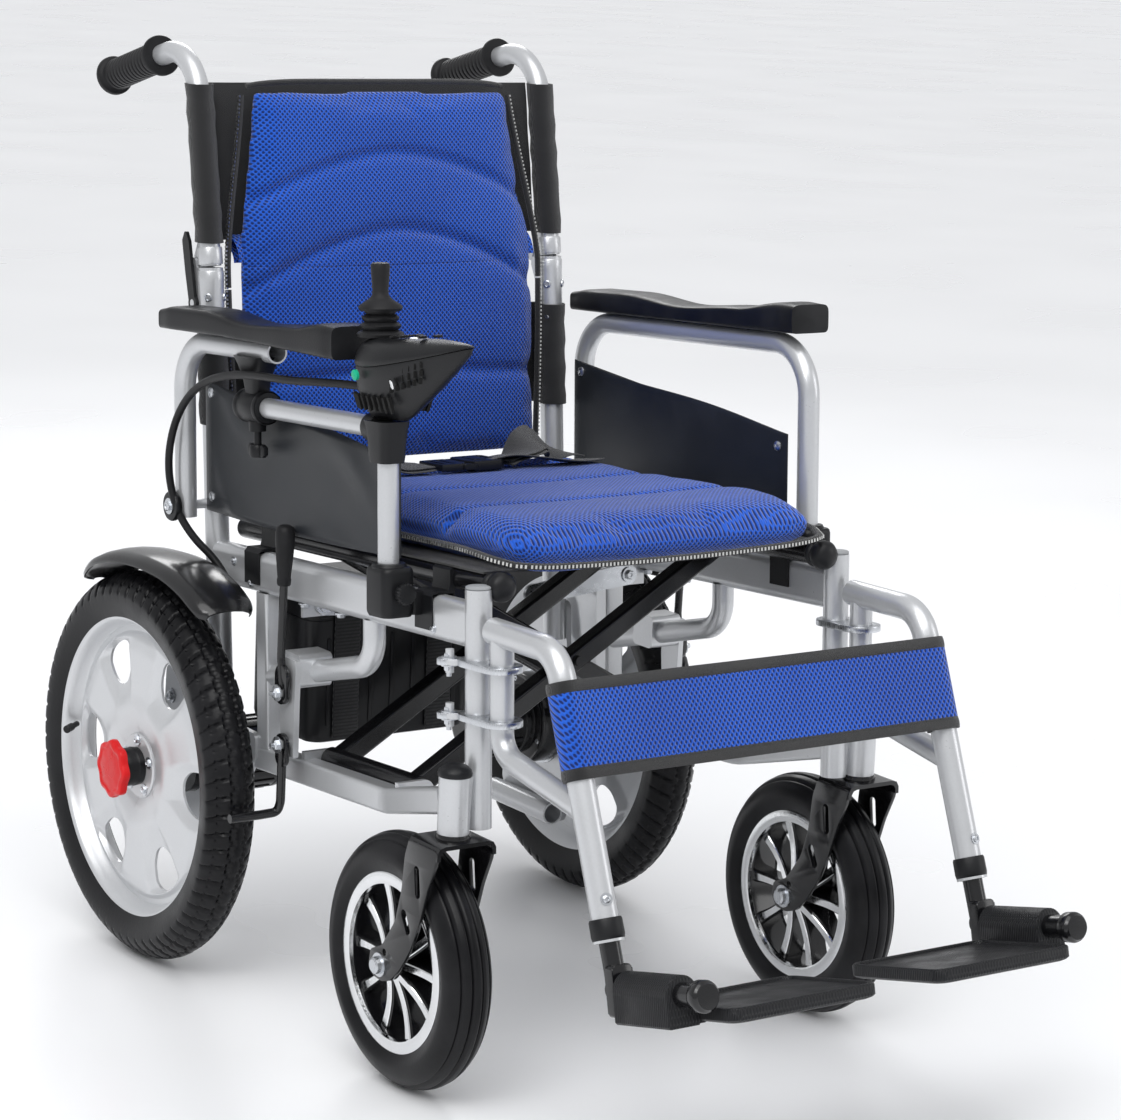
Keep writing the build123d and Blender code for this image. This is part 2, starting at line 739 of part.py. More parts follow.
def make_back_lever():
    """The release lever beside the fold hinge."""
    x = -frame_half - post_radius - 0.5 - lever_thick
    y, z = back_y + lever_back, hinge_z - lever_drop
    with BuildPart() as lever:
        with BuildSketch(upright_plane(x)) as profile:
            Polygon((y - 6, z), (y + 6, z - 3), (y + 16, z + 30), (y + 24, z + 62), (y + 18, z + 74),
                    (y + 10, z + 62), (y + 2, z + 30), align=None)
            fillet(profile.vertices(), 2.5)
            with Locations((y, z)):
                Circle(8)
                Circle(4 + running, mode=Mode.SUBTRACT)
        extrude(amount=lever_thick)
    return lever.part


# ---- Armrests ----------------------------------------------------------------------------------

def arm_pivot_cut():
    centre = arm_pivot()
    return across(-arm_x - 20, -arm_x + 20, centre.Y, centre.Z, 5 + running)


def make_left_arm_frame():
    """One tube loop: front leg, top run under the pad, and rear leg on the pivot."""
    top = pad_under - arm_radius - 0.5
    points = (at(-arm_x, arm_front_u, 13), at(-arm_x, arm_front_u, top),
              at(-arm_x, arm_pivot_u, top), at(-arm_x, arm_pivot_u, arm_pivot_w - 12))
    loop = tube(points, arm_radius, bend=52)
    cut = arm_pivot_cut()
    with BuildPart() as frame:
        add(loop)
        add(cut, mode=Mode.SUBTRACT)
    with BuildPart() as twin:
        mirror(frame.part, about=Plane.YZ)
    return twin.part


control_w = 174.0
elbow_w = 168.0


def make_right_arm_frame():
    """The rear leg bent forward under the pad, and the front leg with its run to the clamp."""
    top = pad_under - arm_radius - 0.5
    rear = (at(-arm_x, 300, top), at(-arm_x, arm_pivot_u, top),
            at(-arm_x, arm_pivot_u, arm_pivot_w - 12))
    tubes = [tube(rear, arm_radius, bend=52),
             tube((at(-arm_x, arm_front_u, 13), at(-arm_x, arm_front_u, elbow_w - 12)), 10),
             tube((at(-arm_x, arm_front_u + 12, control_w), at(-arm_x, 372, control_w)), 10)]
    cut = arm_pivot_cut()
    with BuildPart() as frame:
        add(tubes)
        add(cut, mode=Mode.SUBTRACT)
    return frame.part


def make_arm_pad(pad_start):
    """A moulded pad, thicker and wider at the front."""
    with BuildPart() as pad:
        with BuildSketch(side_plane(-pad_x - pad_half)) as profile:
            with BuildLine():
                Polyline((pad_start, pad_under + 2), (pad_start + 4, pad_under),
                         (pad_start + 44, pad_under), (pad_end, pad_under), (pad_end, pad_under + 20))
                Spline((pad_end, pad_under + 20), (400, pad_under + 24), (300, pad_under + 15),
                       (220, pad_under + 20), (pad_start + 6, pad_under + 30))
                Line((pad_start + 6, pad_under + 30), (pad_start, pad_under + 24))
                Line((pad_start, pad_under + 24), (pad_start, pad_under + 2))
            make_face()
        extrude(amount=2 * pad_half)
    return pad.part


def make_side_panel():
    """The skirt guard between the armrest's legs, high at the back and low at the front."""
    with BuildPart() as panel:
        with BuildSketch(side_plane(-panel_x - panel_thick)) as profile:
            with BuildLine():
                Polyline((112, 142), (112, 50), (300, 46), (478, 56), (478, 192), (440, 196))
                Spline((440, 196), (360, 180), (260, 160), (190, 146), (112, 142))
            make_face()
            fillet(profile.vertices().sort_by(Axis.Y)[:3], 8)
        extrude(amount=panel_thick)
    return panel.part


clamp_u = 340.0


def make_control_clamp():
    """The black fittings: a T bracket from the pad to the run, and the elbow at the front leg."""
    with BuildPart() as clamp:
        with BuildSketch(Plane(origin=at(-arm_x, clamp_u - 16, control_w), x_dir=(1, 0, 0),
                               z_dir=along)):
            Circle(15)
        extrude(amount=32)
        with BuildSketch(Plane(origin=at(-arm_x, clamp_u, control_w + 8), x_dir=(1, 0, 0),
                               z_dir=square)):
            Rectangle(20, 26)
        extrude(amount=pad_under - 2 * arm_radius - 2 - control_w - 8)
        with BuildSketch(Plane(origin=at(-arm_x, clamp_u, control_w - 30), x_dir=(1, 0, 0),
                               z_dir=square)):
            Circle(9)
        extrude(amount=22)
        with BuildSketch(Plane(origin=at(-arm_x, clamp_u - 20, control_w), x_dir=(1, 0, 0),
                               z_dir=along)):
            Circle(10 + running)
        extrude(amount=40, mode=Mode.SUBTRACT)
        with BuildSketch(Plane(origin=at(-arm_x, arm_front_u, elbow_w - 26), x_dir=(1, 0, 0),
                               z_dir=square)):
            RectangleRounded(27, 30, 8)
        extrude(amount=pod_w_low - elbow_w + 26 - 0.2)
        with BuildSketch(Plane(origin=at(-arm_x, arm_front_u, elbow_w - 40), x_dir=(1, 0, 0),
                               z_dir=square)):
            Circle(10 + running)
        extrude(amount=40 - 12 + running, mode=Mode.SUBTRACT)
        with BuildSketch(Plane(origin=at(-arm_x, arm_front_u + 12 - running, control_w),
                               x_dir=(1, 0, 0), z_dir=along)):
            Circle(10 + running)
        extrude(amount=40, mode=Mode.SUBTRACT)
        with BuildSketch(Plane(origin=at(-arm_x, clamp_u, control_w - 31), x_dir=(1, 0, 0),
                               z_dir=-square)):
            Circle(8)
        extrude(amount=9)
        with BuildSketch(Plane(origin=at(-arm_x, clamp_u, control_w - 34), x_dir=(1, 0, 0),
                               z_dir=-square)):
            SlotOverall(30, 9)
        extrude(amount=14)
        with BuildSketch(Plane(origin=at(-arm_x, clamp_u, control_w - 32), x_dir=(1, 0, 0),
                               z_dir=square)):
            Circle(4)
        extrude(amount=18)
    return clamp.part


# ---- Controller --------------------------------------------------------------------------------
pod_x, pod_half = -242.0, 35.0
pod_w_low, pod_split, pod_w_top = 182.0, 232.0, 258.0
pod_rear, pod_front = 138.0, -50.0
stick_u = 116.0
stick_radius = 12.0


def pod_outline(grow, w):
    """The teardrop plan of the controller, grown or shrunk, at one height."""
    length = pod_rear - pod_front
    with BuildSketch(Plane(origin=at(pod_x, pod_front, w), x_dir=(1, 0, 0), z_dir=square)) as plan:
        with BuildLine():
            Spline((0, -grow), (pod_half * 0.72, length * 0.28), (pod_half + grow, length * 0.68),
                   (pod_half * 0.7, length + grow * 0.6), (0, length + grow),
                   (-pod_half * 0.7, length + grow * 0.6), (-pod_half - grow, length * 0.68),
                   (-pod_half * 0.72, length * 0.28), (0, -grow))
        make_face()
    return plan.sketch


def make_controller():
    """Two shells of the joystick controller: the deep lower bowl and the shallow cover."""
    split, low, top = pod_outline(0, pod_split), pod_outline(-16, pod_w_low + 6), pod_outline(-9, pod_w_top)
    bowl, lid = loft([low, split]), loft([pod_outline(0, pod_split + 0.3), top])
    neck = Plane(origin=at(-arm_x, arm_front_u, pod_w_low), x_dir=(1, 0, 0), z_dir=square)
    with BuildPart() as base:
        with BuildSketch(neck):
            Circle(12)
        extrude(amount=8)
        add(bowl)
    with BuildPart() as cover:
        add(lid)
        with BuildSketch(Plane(origin=at(pod_x, stick_u, pod_split), x_dir=(1, 0, 0),
                               z_dir=square)):
            Circle(16)
        extrude(amount=pod_w_top - pod_split - 4, mode=Mode.SUBTRACT)
        with BuildSketch(Plane(origin=stick_pivot() - along * 20, x_dir=(1, 0, 0),
                               z_dir=along)):
            Circle(gimbal_pin + running)
        extrude(amount=40, mode=Mode.SUBTRACT)
        with BuildSketch(Plane(origin=at(pod_x, stick_u, pod_w_top - 12), x_dir=(1, 0, 0),
                               z_dir=square)):
            Circle(stick_radius)
        extrude(amount=20, mode=Mode.SUBTRACT)
        with BuildSketch(Plane(origin=at(pod_x, button_u, pod_w_top - 6), x_dir=(1, 0, 0),
                               z_dir=square)):
            Circle(button_radius + running)
        extrude(amount=20, mode=Mode.SUBTRACT)
    return base.part, cover.part


button_u, button_radius = 50.0, 6.0
gimbal_drop = 16.0          # the stick's pivot, below the cover's top
gimbal_pin = 2.0


def make_power_button():
    with BuildPart() as button:
        with BuildSketch(Plane(origin=at(pod_x, button_u, pod_w_top - 3), x_dir=(1, 0, 0),
                               z_dir=square)):
            Circle(button_radius)
        extrude(amount=5)
        fillet(button.edges().filter_by(GeomType.CIRCLE).sort_by(Axis.Z)[-1], 1)
    return button.part


def stick_pivot():
    return at(pod_x, stick_u, pod_w_top - gimbal_drop)


def make_stick_gimbal():
    """The gimbal ball's housing ring, which tips sideways and carries the stick."""
    centre = stick_pivot()
    with BuildPart() as gimbal:
        with BuildSketch(Plane(origin=centre - square * 5, x_dir=(1, 0, 0), z_dir=square)):
            Circle(11)
            Circle(7, mode=Mode.SUBTRACT)
        extrude(amount=10)
        for side in (-1, 1):
            with BuildSketch(Plane(origin=centre + Vector(side * 1.5, 0, 0), x_dir=(0, 1, 0),
                                   z_dir=(side, 0, 0))):
                Circle(gimbal_pin)
            extrude(amount=7)
            with BuildSketch(Plane(origin=centre + along * side * 10, x_dir=(1, 0, 0),
                                   z_dir=along * side)):
                Circle(gimbal_pin)
            extrude(amount=9)
    return gimbal.part


def make_joystick():
    """The stick with its stepped rubber boot and round-topped knob."""
    base = at(pod_x, stick_u, pod_w_top)
    outline = ((0, -gimbal_drop - 4), (5, -gimbal_drop - 4), (5, 0.6), (19, 0.6), (20, 4),
               (16, 8), (17, 12), (13, 16), (14, 20), (9, 24), (7, 34), (10, 36), (10, 40),
               (7, 44), (9, 60), (8, 64), (0, 66))
    with BuildPart() as stick:
        with BuildSketch(Plane(origin=base, x_dir=(1, 0, 0), z_dir=-along)):
            Polygon(*outline, align=None)
        revolve(axis=Axis(base, square))
        with BuildSketch(Plane(origin=stick_pivot() - Vector(6, 0, 0), x_dir=(0, 1, 0),
                               z_dir=(1, 0, 0))):
            Circle(gimbal_pin + running)
        extrude(amount=12, mode=Mode.SUBTRACT)
    return stick.part


cable_radius = 4.0


def cable_points():
    """The lead's route, from the controller under the pad, down past the armrest pivot."""
    return [(-244, -24, 652), (-250, 2, 651), (-258, 38, 648), (-264, 84, 643), (-266, 136, 640),
            (-266, 190, 634), (-267, 240, 622), (-268, 282, 598), (-269, 309, 562), (-269, 318, 520),
            (-264, 309, 480), (-251, 295, 451), (-234, 277, 430), (-227, 260, 408), (-224, 248, 388)]


def make_cable():
    points = [Vector(*p) for p in cable_points()]
    runs = [b - a for a, b in zip(points, points[1:])]
    radii = []
    for before, after in zip(runs, runs[1:]):
        turn = radians(before.get_angle(after))
        radii.append(0.45 * min(before.length, after.length) / tan(turn / 2))
    print("cable bend radii", [round(r) for r in radii])
    with BuildPart() as cable:
        with BuildLine() as path:
            FilletPolyline(*points, radius=radii)
        with BuildSketch(Plane(origin=path.line @ 0, z_dir=path.line % 0)):
            Circle(cable_radius)
        sweep()
    length = sum(edge.length for edge in path.line.edges())
    print("cable length", round(length), "volume share",
          round(cable.part.volume / (length * pi * cable_radius ** 2), 3))
    return cable.part


# ---- Legrests ----------------------------------------------------------------------------------
leg_radius = 12.5
leg_run = Vector(0, leg_foot[0] - leg_top[0], leg_foot[1] - leg_top[1]).normalized()
strap_width = 88.0


def leg_at(z):
    """The down tube's centre line."""
    share = (z - leg_top[1]) / (leg_foot[1] - leg_top[1])
    return Vector(-frame_half, leg_top[0] + share * (leg_foot[0] - leg_top[0]), z)


def make_legrest():
    """Hanger, upper tube and lower brace of one swing-away legrest."""
    top = leg_at(leg_top[1])
    low = leg_at(leg_foot[1])
    hanger_high, hanger_low = at(-frame_half, hanger_u, 2), at(-frame_half, hanger_u, -94)
    pieces = [
        tube((at(-frame_half, hanger_u + 14, -1), top, low), leg_radius, bend=36),
        tube((hanger_high, at(-frame_half, hanger_u, -112), leg_at(322)), hanger_radius - 1,
             bend=26),
    ]
    with BuildPart() as legrest:
        add(pieces)
        with BuildSketch(Plane(origin=low - leg_run * 4, z_dir=leg_run)):
            Circle(14.5)
        extrude(amount=19)
        with BuildSketch(Plane(origin=low - leg_run * 4, z_dir=leg_run)):
            Circle(foot_tube_radius + running)
        extrude(amount=20, mode=Mode.SUBTRACT)
    return legrest.part


def make_clamp_plates():
    """Two flat clamps that carry the hanger on the front post."""
    with BuildPart() as plates:
        for w in (-36, -86):
            with BuildSketch(Plane(origin=at(-frame_half, 0, w), x_dir=(1, 0, 0), z_dir=square)):
                with Locations(Location((0, hanger_u / 2), 90)):
                    SlotOverall(-hanger_u + 2 * (post_radius + 6), 2 * (post_radius + 6))
                with Locations((-16, 16)):
                    Circle(9)
                with Locations((0, hanger_u)):
                    Circle(hanger_radius - 1 + running, mode=Mode.SUBTRACT)
            extrude(amount=5)
            with BuildSketch(Plane(origin=at(-frame_half - 19, 19, w - 8), x_dir=(1, 0, 0),
                                   z_dir=square)):
                Circle(4)
            extrude(amount=22)
    return plates.part


def foot_frame():
    """The footplate's own axes: its pivot point, the pivot's run and the way up."""
    run = Vector(0, -cos(radians(foot_tilt)), sin(radians(foot_tilt)))
    origin = leg_at(foot_z)
    return origin, run


pivot_tube_radius, foot_reach = 11.0, 120.0


def make_foot_tube():
    """The telescopic tube and the pivot that the footplate turns on."""
    origin, run = foot_frame()
    low = leg_at(leg_foot[1])
    with BuildPart() as foot:
        with BuildSketch(Plane(origin=low - leg_run * 55, z_dir=leg_run)):
            Circle(foot_tube_radius)
        extrude(amount=(origin - low).length + 55 + 14)
        with BuildSketch(Plane(origin=origin, z_dir=run)):
            Circle(pivot_tube_radius)
        extrude(amount=foot_reach)
        with BuildSketch(Plane(origin=origin + run * foot_reach, z_dir=run)):
            Circle(14)
        extrude(amount=14)
        fillet(foot.edges().filter_by(GeomType.CIRCLE).sort_by(Axis.Y)[0], 5)
    return foot.part


def make_footplate():
    """The tread plate and the sleeve that carries it round the pivot."""
    origin, run = foot_frame()
    up = Vector(0, sin(radians(foot_tilt)), cos(radians(foot_tilt)))
    start = 16.0
    ground = Plane(origin=origin + up * -26, x_dir=(1, 0, 0), z_dir=up)
    depth_mid = -(start + plate_depth / 2)
    with BuildPart() as plate:
        with BuildSketch(Plane(origin=origin + run * start, x_dir=(1, 0, 0), z_dir=run)):
            Circle(pivot_tube_radius + 5)
        extrude(amount=foot_reach - start - 22)
        with BuildSketch(ground) as slab:
            with Locations((16 + plate_width / 2, depth_mid)):
                Rectangle(plate_width, plate_depth)
            fillet(slab.vertices().sort_by(Axis.X)[-2:], 12)
            with Locations((2, -(start + 40))):
                Rectangle(34, 78)
        extrude(amount=plate_thick)
        with BuildSketch(Plane(origin=origin + run * (start - 1), x_dir=(1, 0, 0), z_dir=run)):
            Circle(pivot_tube_radius + running)
        extrude(amount=foot_reach, mode=Mode.SUBTRACT)
    return plate.part


def make_calf_strap():
    """One half of the calf strap: a band round the down tube, and its run to the middle."""
    inner, outer = leg_radius + skin, leg_radius + skin + 3
    middle = leg_at(389)
    plane = Plane(origin=middle - leg_run * (strap_width / 2), x_dir=(1, 0, 0), z_dir=leg_run)
    with BuildPart() as strap:
        with BuildSketch(plane):
            Circle(outer)
            with Locations((frame_half / 2, (inner + outer) / 2 * front_sign(plane))):
                Rectangle(frame_half - 0.6, outer - inner)
            Circle(inner, mode=Mode.SUBTRACT)
        extrude(amount=strap_width)
    return strap.part


def front_sign(plane):
    """Whether the chair's front lies along the plane's own second axis or against it."""
    return 1 if plane.y_dir.Y < 0 else -1


# ---- Upholstery and power ----------------------------------------------------------------------

def make_seat_cushion():
    with BuildPart() as cushion:
        with BuildSketch(side_plane(-seat_half)) as profile:
            with BuildLine():
                Polyline((seat_start, seat_bottom), (seat_end, seat_bottom),
                         (seat_end, seat_bottom + seat_thick), (seat_start + 26, seat_bottom + seat_thick),
                         (seat_start, seat_bottom + seat_thick - 22), close=True)
            make_face()
        extrude(amount=2 * seat_half)
    return cushion.part


def back_plane(z, lean_angle):
    tilt = radians(lean_angle)
    return Plane(origin=(0, back_line(z), z), x_dir=(1, 0, 0), z_dir=(0, -cos(tilt), sin(tilt)))


def make_back_cushion(z_low, z_high, half_low, half_high, lean_angle, z_base):
    plane = back_plane(z_base, lean_angle)
    rise = 1 / cos(radians(lean_angle))
    low, high = (z_low - z_base) * rise, (z_high - z_base) * rise
    with BuildPart() as cushion:
        with BuildSketch(plane.offset(-4)):
            Polygon((-half_low, low), (half_low, low), (half_high, high), (-half_high, high),
                    align=None)
        extrude(amount=back_thick)
    return cushion.part


def make_lap_belt():
    """Two lengths of webbing across the rear of the seat, and the buckle between them."""
    with BuildPart() as belt:
        for side in (-1, 1):
            plane = Plane(origin=at(side * 99, 352, seat_bottom + seat_thick + skin),
                          x_dir=(1, 0, 0), z_dir=square)
            with BuildSketch(plane):
                Rectangle(124, 40)
            extrude(amount=5)
        with BuildSketch(Plane(origin=at(0, 352, seat_bottom + seat_thick + skin), x_dir=(1, 0, 0),
                               z_dir=square)):
            RectangleRounded(73, 42, 6)
        extrude(amount=13)
    return belt.part


battery_low, battery_high = 257.0, 416.0


def make_battery_box():
    with BuildPart() as box:
        with BuildSketch(Plane.XY.offset(battery_low)):
            with Locations((-92.5, 219)):
                RectangleRounded(193, 122, 14)
        extrude(amount=battery_high - battery_low)
        fillet(box.faces().sort_by(Axis.Z)[0].edges(), 8)
    return box.part


# ---- Build and write ---------------------------------------------------------------------------

os.makedirs("parts", exist_ok=True)

save_pair(make_side_frame(), "side_frame")
save_pair(make_motor(), "motor")
save_pair(make_fender(), "fender")
save_pair(make_arm_socket(), "arm_socket")
save_pair(make_tyre(-wheel_x, axle_y, tyre_radius, tyre_width, rim_radius, rim_width), "rear_tyre")
save_pair(make_rear_rim(), "rear_rim")
save_pair(make_clutch_knob(), "clutch_knob")
save_pair(make_caster_fork(), "caster_fork")
save_pair(make_tyre(-caster_x, caster_y, caster_radius, caster_width, caster_rim_radius,
                    caster_rim_width), "caster_tyre")
save_pair(make_caster_rim(), "caster_rim")
save_pair(make_brake_lever(), "brake_lever")
save_pair(make_brake_shoe(), "brake_shoe")
save_pair(make_back_post(), "back_post")
save_pair(make_grip(), "grip")
save_pair(make_back_lever(), "back_lever")
save(make_arm_pad(pad_start_right), "right_arm_pad")
with BuildPart() as left_pad:
    mirror(make_arm_pad(pad_start_left), about=Plane.YZ)
save(left_pad.part, "left_arm_pad")
save_pair(make_side_panel(), "side_panel")
save_pair(make_legrest(), "legrest")
save_pair(make_foot_tube(), "foot_tube")
save_pair(make_footplate(), "footplate")
save_pair(make_calf_strap(), "calf_strap")
save_pair(make_link(), "upper_link")
save(make_right_arm_frame(), "right_arm_frame")
save(make_left_arm_frame(), "left_arm_frame")
for frame_part, frame_name in zip(make_cross_bars(), ("cross_bar_a", "cross_bar_b")):
    save(frame_part, frame_name)
for shell, shell_name in zip(make_controller(), ("controller_base", "controller_cover")):
    save(shell, shell_name)
save(make_control_clamp(), "control_clamp")
save(make_stick_gimbal(), "stick_gimbal")
save(make_power_button(), "power_button")
save(make_joystick(), "joystick")
save(make_cable(), "control_cable")
save(make_seat_cushion(), "seat_cushion")
save(make_back_cushion(back_bottom_z, hinge_z - 0.5, back_half_low - 8, back_half_low,
                       lower_back_lean, hinge_z - 1), "back_cushion_lower")
save(make_back_cushion(hinge_z + 0.5, back_top_z, back_half_low, back_half_top,
                       upper_back_lean, hinge_z + 1), "back_cushion_upper")
save(make_lap_belt(), "lap_belt")
save(make_battery_box(), "battery_box")
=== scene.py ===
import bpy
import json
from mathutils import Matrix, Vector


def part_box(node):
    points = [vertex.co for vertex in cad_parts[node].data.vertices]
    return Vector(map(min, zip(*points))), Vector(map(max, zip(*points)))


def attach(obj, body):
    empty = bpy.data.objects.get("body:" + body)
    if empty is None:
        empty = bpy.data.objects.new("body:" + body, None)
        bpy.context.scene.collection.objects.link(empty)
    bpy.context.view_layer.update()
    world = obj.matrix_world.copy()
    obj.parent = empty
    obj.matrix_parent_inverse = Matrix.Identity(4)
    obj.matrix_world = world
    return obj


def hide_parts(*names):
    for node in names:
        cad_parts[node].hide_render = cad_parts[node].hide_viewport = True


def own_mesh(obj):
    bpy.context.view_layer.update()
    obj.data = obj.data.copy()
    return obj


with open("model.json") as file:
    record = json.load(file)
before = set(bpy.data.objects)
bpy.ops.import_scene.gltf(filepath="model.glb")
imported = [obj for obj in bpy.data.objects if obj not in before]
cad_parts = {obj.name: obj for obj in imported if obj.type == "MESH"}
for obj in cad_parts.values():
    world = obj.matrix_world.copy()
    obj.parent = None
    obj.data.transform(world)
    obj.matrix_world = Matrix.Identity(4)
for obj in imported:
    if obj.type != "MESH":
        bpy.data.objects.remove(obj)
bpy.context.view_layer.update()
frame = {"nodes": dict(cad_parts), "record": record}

import json
import math
import bpy
import bmesh
from mathutils import Matrix, Vector

record = frame["record"]
nodes = frame["nodes"]
print("stage: frame loaded,", len(nodes), "nodes")

# The side frames lean back, so most places are given as u, back along the rail, and w, square to it.
chair = {"lean": 3.7, "railY": -.176, "railZ": .452, "half": .209, "hingeZ": .720, "backY": .345,
         "lowLean": 5.45, "topLean": 10.2}
leanA = math.radians(chair["lean"])
alongV = Vector((0, math.cos(leanA), -math.sin(leanA)))
squareV = Vector((0, math.sin(leanA), math.cos(leanA)))
acrossV = Vector((1, 0, 0))
upV = Vector((0, 0, 1))


def at(x, u, w):
    return Vector((x, chair["railY"], chair["railZ"])) + alongV * u + squareV * w


def backLine(z):
    slope = chair["lowLean"] if z < chair["hingeZ"] else chair["topLean"]
    return chair["backY"] + (z - chair["hingeZ"]) * math.tan(math.radians(slope))


def mirrored(p, side):
    # pieces are drawn for the right, at -X, and side is -1 there and 1 at the left
    return Vector((-side * p[0], p[1], p[2]))


# ---- shader maths

class Field:
    """A socket, or the tree it is in, with operators that add Math nodes."""
    def __init__(self, tree, socket):
        self.tree, self.socket = tree, socket

    def node(self, kind, settings=None, stops=None, out=0, **values):
        made = self.tree.nodes.new("ShaderNode" + kind)
        for name, value in (settings or {}).items():
            setattr(made, name, value)
        if stops:
            ramp = made.color_ramp
            while len(ramp.elements) < len(stops):
                ramp.elements.new(.5)
            for element, (place, shade) in zip(ramp.elements, stops):
                element.position, element.color = place, shade
        for name, value in values.items():
            key = int(name[1:]) if name[0] == "i" and name[1:].isdigit() else name.replace("_", " ")
            if isinstance(value, Field):
                self.tree.links.new(value.socket, made.inputs[key])
            else:
                made.inputs[key].default_value = value
        return Field(self.tree, made.outputs[out])

    def maths(self, operation, other=None, third=None, flip=False):
        a, b = (other, self) if flip else (self, other)
        values = {"i0": a}
        if b is not None:
            values["i1"] = b
        if third is not None:
            values["i2"] = third
        return self.node("Math", {"operation": operation}, **values)

    def __add__(self, other): return self.maths("ADD", other)
    def __radd__(self, other): return self.maths("ADD", other, flip=True)
    def __sub__(self, other): return self.maths("SUBTRACT", other)
    def __rsub__(self, other): return self.maths("SUBTRACT", other, flip=True)
    def __mul__(self, other): return self.maths("MULTIPLY", other)
    def __rmul__(self, other): return self.maths("MULTIPLY", other, flip=True)
    def __truediv__(self, other): return self.maths("DIVIDE", other)
    def __pow__(self, other): return self.maths("POWER", other)
    def __mod__(self, other): return self.maths("FLOORED_MODULO", other)
    def sine(self): return self.maths("SINE")
    def size(self): return self.maths("ABSOLUTE")
    def least(self, other): return self.maths("MINIMUM", other)
    def most(self, other): return self.maths("MAXIMUM", other)

    def ramp(self, low, high, toLow=0.0, toHigh=1.0):
        return self.node("MapRange", {"interpolation_type": "SMOOTHSTEP"}, i0=self, i1=low, i2=high,
                         i3=toLow, i4=toHigh)


def mixShade(factor, a, b):
    made = factor.tree.nodes.new("ShaderNodeMix")
    made.data_type = "RGBA"
    factor.tree.links.new(factor.socket, made.inputs[0])
    for slot, value in ((6, a), (7, b)):
        if isinstance(value, Field):
            factor.tree.links.new(value.socket, made.inputs[slot])
        else:
            made.inputs[slot].default_value = (*value, 1)
    return Field(factor.tree, made.outputs[2])


def newFinish(name, **fixed):
    """A Principled material with its constants set on the shader's own sockets."""
    finish = bpy.data.materials.new(name)
    finish.use_nodes = True
    tree = finish.node_tree
    shader = tree.nodes["Principled BSDF"]
    for key, value in fixed.items():
        socket = shader.inputs[key.replace("_", " ")]
        socket.default_value = (*value, 1) if isinstance(value, tuple) and len(value) == 3 else value
    place = Field(tree, tree.nodes.new("ShaderNodeTexCoord").outputs["Object"])
    return finish, shader, place


def feed(shader, **links):
    for key, value in links.items():
        value.tree.links.new(value.socket, shader.inputs[key.replace("_", " ")])


def noise(place, scale, detail=3.0, rough=.5, out=0):
    return place.node("TexNoise", out=out, Vector=place, Scale=scale, Detail=detail, Roughness=rough)


def stretched(place, factors):
    return place.node("VectorMath", {"operation": "MULTIPLY"}, i0=place, i1=factors)


def bump(height, distance, strength=1.0):
    return height.node("Bump", Height=height, Distance=distance, Strength=strength)


def axes(place):
    made = place.tree.nodes.new("ShaderNodeSeparateXYZ")
    place.tree.links.new(place.socket, made.inputs[0])
    return [Field(place.tree, made.outputs[k]) for k in range(3)]


def hexDots(a, b, pitchA, pitchB):
    """The distance, in pitches, from the nearest dot of a staggered grid."""
    found = None
    for shift in (0, .5):
        da = ((a / pitchA + shift) % 1.0) - .5
        db = ((b / pitchB + shift) % 1.0) - .5
        d = da * da + db * db * (pitchB / pitchA) ** 2
        found = d if found is None else found.least(d)
    return found ** .5


# ---- finishes

def paintFinish(name, shade, metal, rough, coat=0.0, grain=.00004, fleck=700, vary=.04):
    finish, shader, place = newFinish(name, Metallic=metal, Coat_Weight=coat, Coat_Roughness=.12)
    cloud = noise(place, 9, 4)
    fine = noise(place, fleck, 2)
    feed(shader, Roughness=cloud.ramp(.3, .7, rough - vary, rough + vary) + (fine - .5) * .12,
         Normal=bump(fine, grain))
    low = tuple(c * .86 for c in shade)
    feed(shader, Base_Color=mixShade(cloud * .6 + fine * .4, low, tuple(min(1, c * 1.08) for c in shade)))
    return finish


def plasticFinish(name, shade, rough, grain=.00008, scale=1100, spec=.26, mottle=.35):
    finish, shader, place = newFinish(name, Specular_IOR_Level=spec)
    cells = place.node("TexVoronoi", {"feature": "F1"}, Vector=place, Scale=scale)
    cloud = noise(place, 14, 5)
    feed(shader, Normal=bump(cells, grain), Roughness=cloud.ramp(.25, .75, rough - .07, rough + .08))
    feed(shader, Base_Color=mixShade(cloud.ramp(.3, .8) * mottle, shade, tuple(c * 1.7 + .006 for c in shade)))
    return finish


def rubberFinish(name, shade, rough, scale=320):
    finish, shader, place = newFinish(name, Specular_IOR_Level=.20)
    cloud, fine = noise(place, 22, 5), noise(place, scale, 4, .65)
    feed(shader, Normal=bump(fine, .00014), Roughness=cloud.ramp(.3, .7, rough - .08, rough + .1))
    feed(shader, Base_Color=mixShade(cloud.ramp(.35, .75), shade, tuple(c * 1.6 + .005 for c in shade)))
    return finish


def metalFinish(name, shade, rough, brushed=(40, 900, 40)):
    finish, shader, place = newFinish(name, Metallic=1.0)
    lines = noise(stretched(place, brushed), 1.0, 4, .6)
    cloud = noise(place, 30, 4)
    feed(shader, Roughness=lines.ramp(.3, .7, rough - .06, rough + .1), Normal=bump(lines, .00003),
         Base_Color=mixShade(cloud, tuple(c * .82 for c in shade), shade))
    return finish


